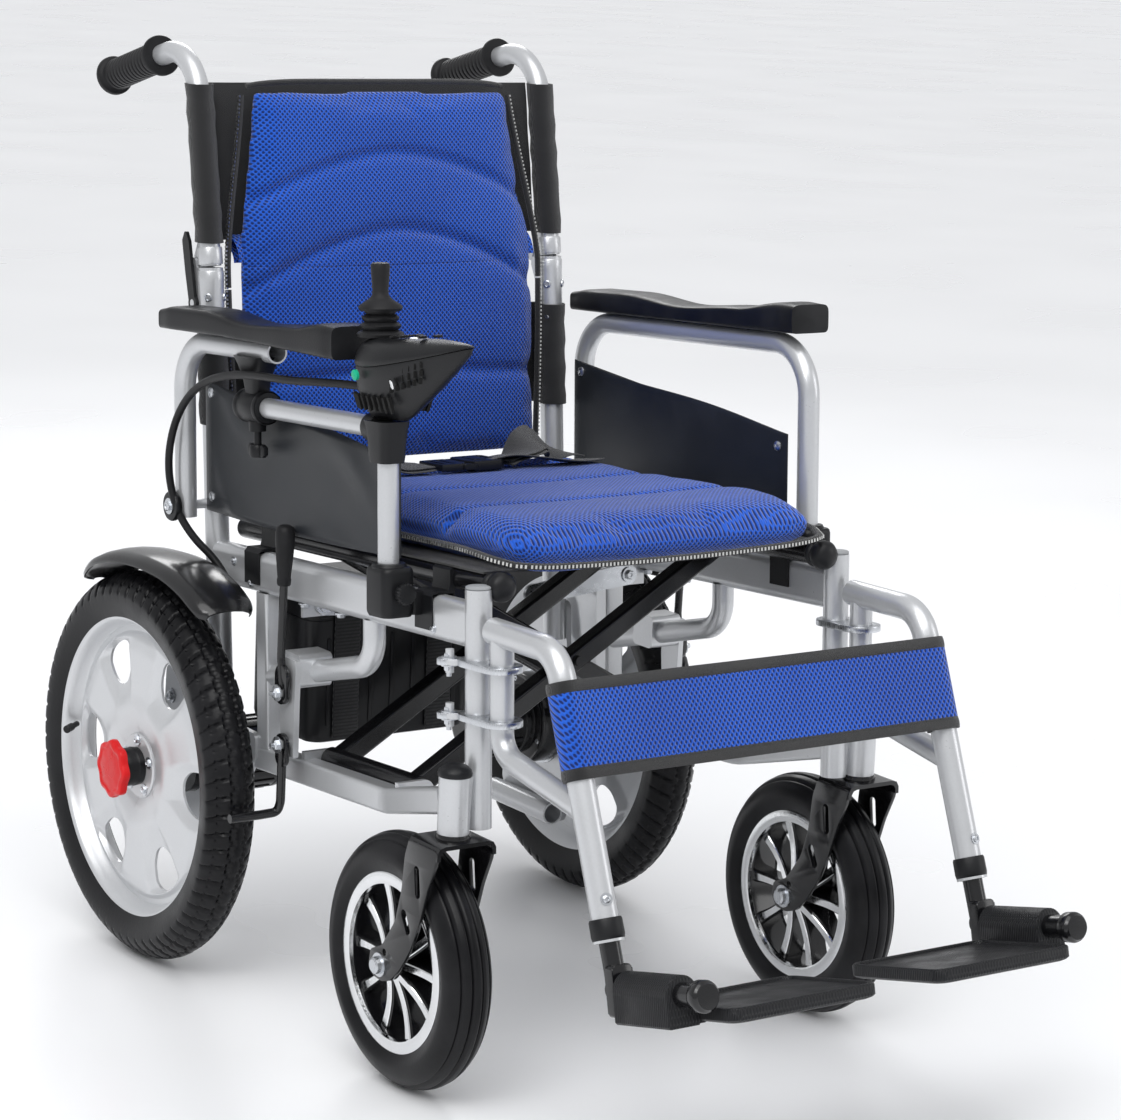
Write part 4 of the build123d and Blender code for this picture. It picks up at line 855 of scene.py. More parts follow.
def rearTyre(side):
    w = rearWheel
    half, seatHalf = w["width"] / 2, w["seat"] / 2
    around, across = w["blocks"] * 12, 33
    shape = Shape()
    rows = []
    for k in range(around):
        angle = math.tau * k / around
        row = []
        for j in range(across + 1):
            s = -1 + 2 * j / across
            bow = math.copysign(abs(s) ** .92, s)
            out = half * math.sin(bow * math.pi / 2) if abs(s) < .8 else None
            if out is None:
                f = (abs(s) - .8) / .2
                out = math.copysign(half * .951 + (seatHalf - half * .951) * f ** 1.6, s)
                radius = w["radius"] - .0225 - (w["radius"] - .0225 - w["rim"] + .002) * f
            else:
                radius = w["radius"] - .0225 * (1 - math.cos(bow / .8 * math.pi / 2 * .98)) ** .9
            a = abs(s)
            turn = angle * w["blocks"]
            # slanted lug gaps that wrap onto the shoulder, and two wavy grooves round the crown
            slant = turn + math.copysign(1, s) * a * 4.6
            gap = max(0, math.cos(slant)) ** 6 * min(1, max(0, (a - .20) / .06)) * min(1, max(0, (.82 - a) / .07))
            wave = .14 + .035 * math.sin(turn)
            ring = math.exp(-((a - wave) / .026) ** 2)
            second = math.exp(-((a - .46 - .03 * math.sin(turn + 2)) / .022) ** 2)
            radius -= w["groove"] * min(1, gap + ring * .9 + second * .6)
            row.append(wheelPoint(w, side, out * -1, radius, angle))
        rows.append(row)
    inner = [[wheelPoint(w, side, -o, w["rim"] - .002, math.tau * k / around) for o in (seatHalf, -seatHalf)]
             for k in range(around)]
    loops = [row + skirt for row, skirt in zip(rows, inner)]
    shape.rings(loops + [loops[0]], caps=False)
    name = sideName(side)
    tyre = shape.make(f"{name}_tyre_tread", f"{name}_wheel", "tyre_rubber", "tyre_rubber", 40)
    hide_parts(f"{name}_rear_tyre")


def sideName(side):
    return "right" if side < 0 else "left"


def dish(radius):
    """How far the pressed disc stands out from the wheel's middle, at one radius."""
    r = radius * 1000
    points = [(12, 7), (33, 7), (42, 10.5), (60, 12.5), (76, 10.5), (118, 10), (134, 8), (141, 3), (147, 2.5),
              (150, 12), (153, 19.5), (157.5, 21), (160, 20.5)]
    for (r0, h0), (r1, h1) in zip(points, points[1:]):
        if r <= r1:
            t = max(0, (r - r0) / (r1 - r0))
            t = t * t * (3 - 2 * t)
            return (h0 + (h1 - h0) * t) / 1000
    return points[-1][1] / 1000


def rearDisc(side):
    """The disc is six sectors, each a web of loops round its own window."""
    w, name = rearWheel, sideName(side)
    shape = Shape()
    span = math.tau / 6
    outer, inner, samples = .1405, .012, 96
    window = []
    for k in range(samples):
        t = math.tau * k / samples
        c, s = math.cos(t), math.sin(t)
        r = .1110 + .0225 * math.copysign(abs(s) ** .8, s)
        wide = .0225 * (1 + .40 * s) * math.copysign(abs(c) ** .75, c)
        window.append((r, wide / r))
    edge = []
    corner = samples // 4
    for k in range(samples):
        f = ((k + samples // 8) % samples) / corner
        i, t = int(f), f % 1
        a = [(outer, -.5), (outer, .5)] if i == 1 else None
        if i == 0:
            edge.append((inner + (outer - inner) * t, .5 * span))
        elif i == 1:
            edge.append((outer, (.5 - t) * span))
        elif i == 2:
            edge.append((outer + (inner - outer) * t, -.5 * span))
        else:
            edge.append((inner, (-.5 + t) * span))
    for sector in range(6):
        turn = sector * span + math.radians(2)
        for face, shift in ((1, 0.0), (-1, -.0028)):
            rows = []
            for j in range(15):
                f = j / 14
                g = f ** .8
                row = []
                for (wr, wa), (er, ea) in zip(window, edge):
                    radius, angle = wr + (er - wr) * g, wa + (ea - wa) * g
                    lip = -.0065 * math.exp(-(f / .13) ** 2)
                    row.append(wheelPoint(w, side, dish(radius) + lip + shift, radius, turn + angle))
                rows.append(row)
            if face > 0:
                rim = rows[0]
                front = rows
            else:
                rows = rows
                shape.rings([rim, rows[0]], caps=False)
            shape.rings(rows, caps=False)
    profile = [(dish(r / 1000) + s, r / 1000) for r, s in
               [(140.5, 0), (143, 0), (146, 0), (148, 0), (150, 0), (152, 0), (154, 0), (156, 0), (158, 0)]]
    profile += [(.0195, .1600), (.016, .1585), (.012, .1555), (-.012, .1555), (-.018, .1585), (-.0215, .160),
                (-.0215, .1575), (-.016, .150), (-.006, .146), (0, .1405)]
    axis = (side, 0, 0)
    shape.lathe(profile, (side * w["x"], w["y"], w["z"]), axis, 144, close=True)
    shape.lathe([(-.014, .0102), (-.014, .030), (.002, .034), (dish(.033) + .0016, .034),
                 (dish(.033) + .0030, .0325), (dish(.033) + .0030, .0102)],
                (side * w["x"], w["y"], w["z"]), axis, 64, close=True)
    disc = shape.make(f"{name}_wheel_disc", f"{name}_wheel", "silver_rim", "silver_rim", 38, 2e-5)
    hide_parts(f"{name}_rear_rim")
    bolts = Shape()
    for k in range(5):
        a = math.tau * k / 5 + .3
        hexBolt(bolts, wheelPoint(w, side, dish(.030) + .003, .0275, a), axis, .0036, .0035)
    bolts.make(f"{name}_hub_bolts", f"{name}_wheel", "zinc_steel", "zinc_steel")
    valve = Shape()
    a = math.radians(5 if side < 0 else 60)
    foot = wheelPoint(w, side, .010, .1405, a)
    tip = wheelPoint(w, side, .030, .126, a)
    valve.tube([foot, foot.lerp(tip, .45), foot.lerp(tip, .5), foot.lerp(tip, .96), tip],
               [.0030, .0030, .0042, .0042, .0030], 14)
    valve.make(f"{name}_valve", f"{name}_wheel", "cable_jacket", "tyre_rubber")


def hexBolt(shape, place, axis, radius, height, washer=True):
    """A bolt head on its washer, with a dimple in its top."""
    place, axis = Vector(place), Vector(axis).normalized()
    if washer:
        shape.lathe([(0, 0), (0, radius * 1.75), (radius * .3, radius * 1.75), (radius * .3, 0)], place, axis, 24)
    shape.lathe([(0, 0), (0, radius * 1.12), (height * .8, radius * 1.12), (height, radius * .9),
                 (height, radius * .5), (height * .8, radius * .4), (height * .8, 0)], place, axis, 6)


def clutchKnob(side):
    w, name = rearWheel, sideName(side)
    start = w["x"] + .0265
    middle = (side * start, w["y"], w["z"])
    neck = Shape().lathe([(-.0165, .011), (-.0165, .0195), (-.010, .0205), (-.008, .0195), (-.003, .0200), (.001, .0190), (.003, .0180), (.0045, .0190),
                          (.006, .0165), (.0075, .0175), (.0085, .015), (.0085, .011)], middle,
                         (side, 0, 0), 48, close=True)
    neck.make(f"{name}_knob_neck", f"{name}_clutch", "black_plastic", "red_plastic")
    cap = Shape()
    rows = []
    for out, grow in ((.0065, .90), (.0075, .985), (.0095, 1.0), (.0125, 1.0), (.0148, .97), (.0158, .90),
                      (.0160, .82), (.0152, .78), (.0150, .70), (.0156, .62), (.0157, .3), (.0157, .02)):
        rows.append([wheelPoint({**w, "x": start}, side, out,
                                (.0296 + .0014 * math.cos(8 * t)) * grow, t)
                     for t in (math.tau * k / 96 for k in range(96))])
    cap.rings(rows)
    knob = cap.make(f"{name}_knob_cap", f"{name}_clutch", "red_plastic", "red_plastic", 40)
    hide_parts(f"{name}_clutch_knob")


def casterTyre(side):
    w, name = casterWheel, sideName(side)
    half, r = w["width"] / 2, w["radius"]
    profile = []
    grooves = (-.30, -.10, .10, .30)
    for k in range(90):
        s = -1 + 2 * k / 89
        a = abs(s)
        out = half * math.sin(min(1, a / .72) * math.pi / 2) if a < .72 else half - (half - w["seat"] / 2 - .0015) * ((a - .72) / .28) ** 1.5
        fall = .0245 * (1 - math.cos(min(1, a / .72) * math.pi / 2)) ** .95
        if a >= .72:
            fall = .0245 + (r - w["rim"] + .0005 - .0245) * ((a - .72) / .28)
        cut = sum(math.exp(-((s - g) / .022) ** 2) for g in grooves) * .0030
        profile.append((math.copysign(out, s), r - fall - cut))
    profile += [(w["seat"] / 2, w["rim"] - .001), (-w["seat"] / 2, w["rim"] - .001)]
    shape = Shape().lathe(profile, (side * w["x"], w["y"], w["z"]), (side, 0, 0), 160, close=True)
    tyre = shape.make(f"{name}_caster_tread", f"{name}_caster", "tyre_rubber", "tyre_rubber", 50)
    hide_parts(f"{name}_caster_tyre")


def casterRim(side):
    """A black casting: rim, hub, and five pairs of spokes with machined faces."""
    w, name = casterWheel, sideName(side)
    middle, axis = (side * w["x"], w["y"], w["z"]), (side, 0, 0)
    body, bright = Shape(), Shape()
    body.lathe([(-.0175, .0835), (-.0205, .0850), (-.0205, .0800), (-.014, .0745), (.014, .0745), (.0170, .0755),
                (.0170, .0835)], middle, axis, 128, close=True)
    bright.lathe([(.0168, .0735), (.0205, .0745), (.0212, .0765), (.0212, .0845), (.0205, .0860), (.0168, .0850)],
                 middle, axis, 128, close=True)
    body.lathe([(-.026, .0063), (-.026, .0135), (-.0245, .015), (-.015, .017), (.015, .017), (.0245, .015),
                (.026, .0135), (.026, .0063)], middle, axis, 48, close=True)
    bright.lathe([(-.0168, .0735), (-.0205, .0745), (-.0212, .0765), (-.0212, .0845), (-.0205, .0860),
                  (-.0168, .0850)], middle, axis, 128, close=True)
    for k in range(5):
        for split in (-1, 1):
            turn = math.tau * k / 5 + .31
            ends = [(radius * math.cos(turn + split * a), radius * math.sin(turn + split * a))
                    for radius, a in ((.0150, .22), (.0768, .33))]
            run = Vector((0, ends[1][0] - ends[0][0], ends[1][1] - ends[0][1])).normalized()
            across = Vector((0, -run.z, run.y))
            for deep, low, high, wide in ((body, -.0110, .0110, 1), (bright, .0105, .0127, .74), (bright, -.0127, -.0105, .74)):
                rows = []
                for f in np.linspace(0, 1, 9):
                    half = (.0056 - .0012 * f + .0026 * f ** 4) * wide
                    bulge = .0060 * (1 - f) ** 2 - .0022 * math.sin(f * math.pi)
                    mid = Vector(middle) + Vector((0, ends[0][0] + (ends[1][0] - ends[0][0]) * f,
                                                   ends[0][1] + (ends[1][1] - ends[0][1]) * f))
                    top, foot = (high + bulge, low - bulge) if deep is body else \
                        ((high + bulge, low + bulge) if low > 0 else (high - bulge, low - bulge))
                    rows.append([mid + across * half * c + Vector((side * o, 0, 0))
                                 for o, c in ((foot, -.8), (foot, .8), (foot + .001, 1), (top - .001, 1), (top, .8),
                                              (top, -.8), (top - .001, -1), (foot + .001, -1))])
                deep.rings(rows)
    rim = body.make(f"{name}_caster_casting", f"{name}_caster", "black_rim", "black_rim", 35)
    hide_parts(f"{name}_caster_rim")
    bright.make(f"{name}_caster_polish", f"{name}_caster", "polished", "black_rim", 35)


def casterFork(side):
    """The pressed fork: a wide crown that turns down into two slotted legs."""
    w, name = casterWheel, sideName(side)
    headY, crown = -.192, .260
    outline = [(-.218, .2565), (-.166, .2565), (-.1605, .238), (-.1575, .205), (-.148, .172), (-.126, .142),
               (-.106, .134), (-.1035, .120), (-.112, .1085), (-.128, .1075), (-.142, .112), (-.158, .127),
               (-.176, .152), (-.190, .182), (-.200, .214), (-.212, .240)]
    smooth = []
    for a, b, c in zip([outline[-1]] + outline[:-1], outline, outline[1:] + [outline[0]]):
        a, b, c = (np.array(p) for p in (a, b, c))
        for t in (.3, .5, .7):
            smooth.append(tuple((a + (b - a) * .72) * (1 - t) ** 2 + b * 2 * t * (1 - t) + (c + (b - c) * .72) * t * t))
    holes = [circle(.0032, 16, -.131, .137), circle(.0060, 24, w["y"], w["z"])]
    for y, z, turn, length in ((-.1835, .219, 82, .030), (-.166, .176, 62, .024)):
        c, s = math.cos(math.radians(turn - 90)), math.sin(math.radians(turn - 90))
        holes.append([(y + p[0] * c - p[1] * s, z + p[0] * s + p[1] * c) for p in pillLong(.0042, length)])
    shape = Shape()
    for leg in (-1, 1):
        addPlate(shape, [smooth] + holes, (side * w["x"] + leg * .030, 0, 0), (0, 1, 0), (0, 0, 1), .004)
    arch = [(-.032, .2465), (-.0317, .2535), (-.0288, .2585), (-.023, .260), (.023, .260), (.0288, .2585),
            (.0317, .2535), (.032, .2465), (.028, .2465), (.0277, .2515), (.0255, .2548), (.022, .256),
            (-.022, .256), (-.0255, .2548), (-.0277, .2515), (-.028, .2465)]
    shape.rings([[Vector((side * w["x"] + p[0], y, p[1])) for p in arch]
                 for y in (-.2165, -.215, -.170, -.1665)])
    fork = shape.make(f"{name}_fork_steel", f"{name}_fork", "black_metal", "black_metal", 35)
    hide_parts(f"{name}_caster_fork")
    bits = Shape()
    for leg in (-1, 1):
        spot = (side * w["x"] + leg * .032, w["y"], w["z"])
        bits.lathe([(0, 0), (0, .0115), (.0015, .0115), (.0015, .0085), (.0025, .0085), (.0065, .0078), (.0078, .006),
                    (.0078, 0)], spot, (leg, 0, 0), 28)
    bits.tube([(side * w["x"] - .034, w["y"], w["z"]), (side * w["x"] + .034, w["y"], w["z"])], .0059, 20)
    bits.make(f"{name}_caster_axle", f"{name}_fork", "zinc_steel", "zinc_steel")
    stem = Shape().lathe([(0, 0), (0, .0155), (-.003, .0165), (-.0045, .0165), (-.0045, 0)],
                         (side * w["x"], headY, crown + .0045), (0, 0, 1), 32)
    stem.lathe([(0, 0), (0, .0079), (.04, .0079), (.04, 0)], (side * w["x"], headY, crown - .001), (0, 0, 1), 24)
    stem.make(f"{name}_fork_stem", f"{name}_fork", "black_metal", "black_metal")
    head = Shape().lathe([(0, 0), (0, .0158), (.003, .0162), (.006, .0150), (.0095, .0110), (.0112, .005),
                          (.0115, 0)], (side * w["x"], headY, .3185), (0, 0, 1), 36)
    head.make(f"{name}_head_cap", f"{name}_frame", "black_plastic", "black_plastic")


def mudguard(side):
    """A thin crowned blade over the tyre, whose rear end runs straight off behind."""
    w, name = rearWheel, sideName(side)
    keys = [(.4560, .3790, .0065), (.4480, .3860, .0200), (.4360, .3950, .0300), (.4100, .4110, .0335),
            (.3700, .4235, .0345), (.3200, .4290, .0350), (.2850, .4295, .0350), (.2500, .4270, .0350),
            (.2150, .4190, .0345), (.1900, .4090, .0340), (.1780, .4020, .0310), (.1720, .3985, .0250)]
    line = curvePoints([(0, y, z) for y, z, _ in keys], 56)
    wide = curvePoints([(half, 0, 0) for *_, half in keys], 56)
    rows = []
    for k, (p, h) in enumerate(zip(line, wide)):
        run = (line[min(k + 1, 55)] - line[max(k - 1, 0)]).normalized()
        up = Vector((0, -run.z, run.y))
        up = up if up.z > 0 else -up
        half = h.x
        ring = []
        for o, rise in ((-1, -.0090), (-.985, -.0035), (-.90, .0000), (-.6, .0034), (-.2, .0050), (.2, .0050), (.6, .0034),
                        (.88, .0002), (.97, -.0040), (.985, -.0080), (.93, -.0080), (.91, -.0042), (.84, -.0020),
                        (.6, .0008), (.2, .0024), (-.2, .0024), (-.6, .0008), (-.86, -.0022), (-.94, -.0044),
                        (-.955, -.0090)):
            ring.append(Vector((side * (w["x"] + o * half), 0, 0)) + p + up * rise * min(1, half / .03))
        rows.append(ring)
    guard = Shape().rings(rows).make(f"{name}_mudguard", f"{name}_frame", "guard_gloss", "black_plastic", 40)
    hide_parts(f"{name}_fender")


def wheels():
    for side in (-1, 1):
        rearTyre(side)
        rearDisc(side)
        clutchKnob(side)
        casterTyre(side)
        casterRim(side)
        casterFork(side)
        mudguard(side)
    print("stage: wheels")

upholstery()
trims()
slings()
print("stage: upholstery")
wheels()

# ---- armrests and controller

armrest = {"x": .247, "frontU": .095, "pivotU": .490, "pivotW": .060, "padX": .252, "under": .241,
           "controlW": .174, "clampU": .340, "padFront": {"right": .1485, "left": .1005}}
panel = {"x": .228, "thick": .0036, "relief": .0030}
pod = {"x": .242, "rear": .139, "front": -.049, "half": .0345, "low": .184, "split": .232, "top": .2585,
       "stickU": .116, "buttonU": .050}


def armPad(side):
    """A moulded pad, deep and broad at its front end, waisted, and broad again at the back."""
    name = sideName(side)
    start, end = armrest["padFront"][name], .4935
    drop = -.007 if side < 0 else 0
    keys = [(0, .0235, .0, .0290), (.06, .0250, .0, .0300), (.25, .0240, .0, .0215), (.5, .0225, .0, .0165),
            (.75, .0235, .0, .0240), (.93, .0240, .0, .0235), (1, .0225, .0, .0200)]
    rows = []
    for k in range(49):
        f = k / 48
        g = .5 - .5 * math.cos(f * math.pi)
        for (f0, *a), (f1, *b) in zip(keys, keys[1:]):
            if g <= f1:
                t = (g - f0) / (f1 - f0)
                t = t * t * (3 - 2 * t)
                half, _, rise = (p + (q - p) * t for p, q in zip(a, b))
                break
        endRound = min(1, max(0, 1 - (1 - min(f, 1 - f) / .02) ** 2) ** .5) if min(f, 1 - f) < .02 else 1
        shrink = .88 + .12 * endRound
        low = armrest["under"] + drop * max(0, 1 - g * 1.6) + .0004
        tall = rise - drop * max(0, 1 - g * 1.6) * .3
        mid = low + tall / 2
        row = []
        for j in range(40):
            t = math.tau * j / 40
            c, s = math.cos(t), math.sin(t)
            power = .34 if s > 0 else .16
            row.append(at(side * armrest["padX"] + half * shrink * math.copysign(abs(c) ** power, c),
                          start + (end - start) * g,
                          mid + tall / 2 * shrink * math.copysign(abs(s) ** .42, s)))
        rows.append(row)
    piece = Shape().rings(rows).make(f"{name}_pad", f"{name}_arm", "pad_foam", "pad_foam", 50)
    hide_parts(f"{name}_arm_pad")
    screws = Shape()
    for u in (.21, .40):
        hexBolt(screws, at(side * armrest["x"], u, armrest["under"] - .0255), -squareV, .0032, .003)


def skirtGuard(side):
    """The guard's waves run from high at the back to low at the front."""
    name = sideName(side)
    shape = Shape()
    x0 = side * panel["x"]

    def top(u):
        f = (u - .104) / (.480 - .104)
        return .141 + .053 * (f ** 1.3) + .006 * math.sin(f * math.pi * 1.6)

    def bottom(u):
        f = (u - .104) / (.480 - .104)
        return .051 - .004 * math.sin(f * math.pi) + .004 * f

    cols, lines = 96, 64
    sheets = []
    for face in (1, -1):
        grid = []
        for j in range(lines + 1):
            row = []
            for i in range(cols + 1):
                u = .104 + (.480 - .104) * i / cols
                f = j / lines
                w = bottom(u) + (top(u) - bottom(u)) * f
                edge = min(1, min(i, cols - i) / 3, min(j, lines - j) / 3)
                s = (w - .05) * 26 - 4.2 * ((u - .10) / .38) ** 1.4 + 1.1 * math.sin(u * 17 + 1)
                crest = (.5 + .5 * math.sin(s * 2.4)) ** 3
                mask = min(1, max(0, (u - .135) / .05)) * min(1, max(0, (.462 - u) / .04))
                out = panel["thick"] / 2 * (.35 + .65 * edge ** .5)
                out += panel["relief"] * crest * mask * edge if face == side else 0
                row.append(at(x0 + face * out, u, w))
            grid.append(row)
        sheets.append(grid)
    loops = [front + back[::-1] for front, back in zip(*sheets)]
    shape.rings(loops)
    piece = shape.make(f"{name}_guard", f"{name}_arm", "panel_plastic", "panel_plastic", 60)
    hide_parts(f"{name}_side_panel")
    screws = Shape()
    for u, w in ((.118, .128), (.118, .066), (.466, .176), (.466, .070)):
        for face in (1, -1):
            screws.lathe([(0, 0), (0, .0052), (.0012, .0050), (.0022, .0034), (.0024, .0014), (.0014, .0010),
                          (.0014, 0)], at(x0 + face * .0017, u, w), (face, 0, 0), 24)
    screws.make(f"{name}_guard_screws", f"{name}_arm", "zinc_steel", "zinc_steel")


def podRing(w, grow, frontShift=0.0, sides=72, rearShift=0.0):
    """The controller's plan at one height: a drop whose point leads forward."""
    front, rear = pod["front"] + frontShift, pod["rear"] - rearShift
    half = pod["half"] + grow
    ring = []
    for k in range(sides):
        t = math.tau * k / sides
        c, s = math.cos(t), math.sin(t)
        f = .5 + .5 * c                      # 1 at the rear, 0 at the point
        u = front + (rear - front) * (f ** .92)
        wide = half * abs(s) ** .82 * (1 - .58 * (1 - f) ** 1.35) * (1.0 + .05 * f)
        ring.append((math.copysign(wide, s), u, w))
    return ring


def controller():
    x = -pod["x"]

    def lift(u, w):
        # the seam and the nose rise toward the point
        f = max(0, (.10 - u) / .15)
        return w + .028 * f ** 1.3

    levels = [(.1835, -.0215, .118, .022), (.188, -.0165, .108, .016), (.198, -.0098, .090, .009),
              (.210, -.0045, .064, .004), (.221, -.0012, .036, .0015), (.2300, -.0002, .012, 0), (.2318, -.0008, .011, 0)]
    rows = []
    for w, grow, nose, tail in levels:
        f = (w - .1835) / (.2318 - .1835)
        rows.append([at(x + p[0], p[1], w + (lift(p[1], w) - w) * f ** 1.5)
                     for p in podRing(w, grow, nose, rearShift=tail)])
    bowl = Shape().rings(rows)
    bowl.lathe([(0, .0125), (0, .0), (.0035, .0), (.0035, .0125)], at(-armrest["x"], armrest["frontU"], .1815),
               squareV, 32)
    bowl = bowl.make("controller_bowl", "right_arm", "black_plastic", "black_plastic", 40)
    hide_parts("controller_base")
    tops = [(.2324, .0004, .010, -.0003), (.2342, .0012, .008, -.001), (.2385, .0006, .010, 0), (.2455, -.0022, .018, .003),
            (.2515, -.0065, .032, .008), (.2560, -.0125, .050, .016), (.2578, -.0185, .066, .024), (.2583, -.025, .080, .034)]
    rows = []
    for w, grow, nose, tail in tops:
        f = 1 - (w - .2324) / (.2583 - .2324)
        rows.append([at(x + p[0], p[1], lift(p[1], w) * (.35 + .65 * f) + w * (.65 - .65 * f))
                     for p in podRing(w, grow, nose, rearShift=tail)])
    lid = Shape().rings(rows).make("controller_lid", "right_arm", "black_plastic", "black_plastic", 50)
    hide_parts("controller_cover")
    # vent slots low on both flanks, and a patch of slanted ones nearer the point: deep black pills laid on the surface,
    # painted shade where the openings are
    vents = Shape()
    for sd in (-1, 1):
        for k in range(9):
            u = .132 - k * .0085
            f = (u - pod["front"]) / (pod["rear"] - pod["front"])
            out = (pod["half"] - .0105) * (1 - .58 * (1 - f) ** 1.35) * (1 - .5 * max(0, f - .86) / .14)
            tilt = Vector((sd * .34, 0, .94)).normalized()
            vents.prism([(p[0], p[1]) for p in pill(.0016, .016)], at(x + sd * (out + .0008), u, .199),
                        alongV, tilt, .0030, 0)
    for row in range(3):
        for k in range(6):
            u, w = .062 - k * .0085 - row * .002, .214 + row * .0075 + k * .0022
            f = (u - pod["front"]) / (pod["rear"] - pod["front"])
            out = (pod["half"] - .0052 + row * .0016) * (1 - .58 * (1 - f) ** 1.35) * (.90 - .012 * k)
            vents.prism([(p[0], p[1]) for p in pill(.0014, .0062)], at(x - out, u, w),
                        Vector((.25, .9, .25)).normalized(), Vector((-.15, -.25, .95)).normalized(), .0030, 0)
    vents.make("controller_vents", "right_arm", "painted_vent_shade", "black_plastic")
    lamp = Shape().lathe([(-.002, 0), (-.002, .0050), (.0006, .0050), (.0014, .0040), (.0018, .0016), (.0019, 0)],
                         at(x - pod["half"] * .985, .106, .2245), Vector((-1, .0, -.10)), 32)
    lamp.make("controller_lamp", "right_arm", "lamp_green", "button_plastic")
    patch = Shape().prism(roundRect(.0105, .0068, .001), at(x - pod["half"] * .80, .052, .2195),
                          Vector((.36, .93, .05)), Vector((-.30, .0, .95)), .0012, .0003)
    patch.make("controller_patch", "right_arm", "label_white", "button_plastic")
    keys = Shape()
    for k, u in enumerate((.078, .062, .030)):
        for sd in (-1, 1):
            keys.prism(roundRect(.0085, .0050, .0016), at(x + sd * .0085, u, .2604 + .0016 * k), acrossV,
                       alongV, .0024, .0006)
    keys.make("controller_keys", "right_arm", "grip_rubber", "button_plastic")
    ring = Shape().lathe([(0, .0060), (0, .0085), (.0010, .0092), (.0026, .0088), (.0030, .0078), (.0030, .0060)],
                         at(x, pod["buttonU"], .2588), squareV, 40, close=True)
    ring.make("button_ring", "right_arm", "polished", "button_plastic")

    # the boot's bellows go with the stick
    base = at(x, pod["stickU"], .2578)
    boot = Shape().lathe([(0, 0), (0, .0215), (.0028, .0222), (.0045, .0205), (.0062, .0165), (.0085, .0190),
                          (.0105, .0196), (.0122, .0178), (.0138, .0150), (.0160, .0172), (.0180, .0176),
                          (.0196, .0158), (.0210, .0135), (.0232, .0152), (.0250, .0152), (.0268, .0128),
                          (.0290, .0085), (.0340, .0070), (.0345, 0)], base, squareV, 56)
    boot = boot.make("joystick_boot", "stick", "grip_rubber", "grip_rubber", 50)
    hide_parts("joystick")
    knob = Shape().lathe([(.024, 0), (.024, .0195), (.0265, .0208), (.0290, .0196), (.0345, .0112), (.0380, .0080),
                          (.0420, .0074), (.0600, .0088), (.0655, .0090), (.0675, .0082), (.0683, .0060),
                          (.0683, 0)], base, squareV, 48)
    knob.make("joystick_knob", "stick", "grip_rubber", "grip_rubber", 40)


def pill(radius, length):
    return [(p[0], p[1] + math.copysign(length / 2 - radius, p[1])) for p in circle(radius, 14)]


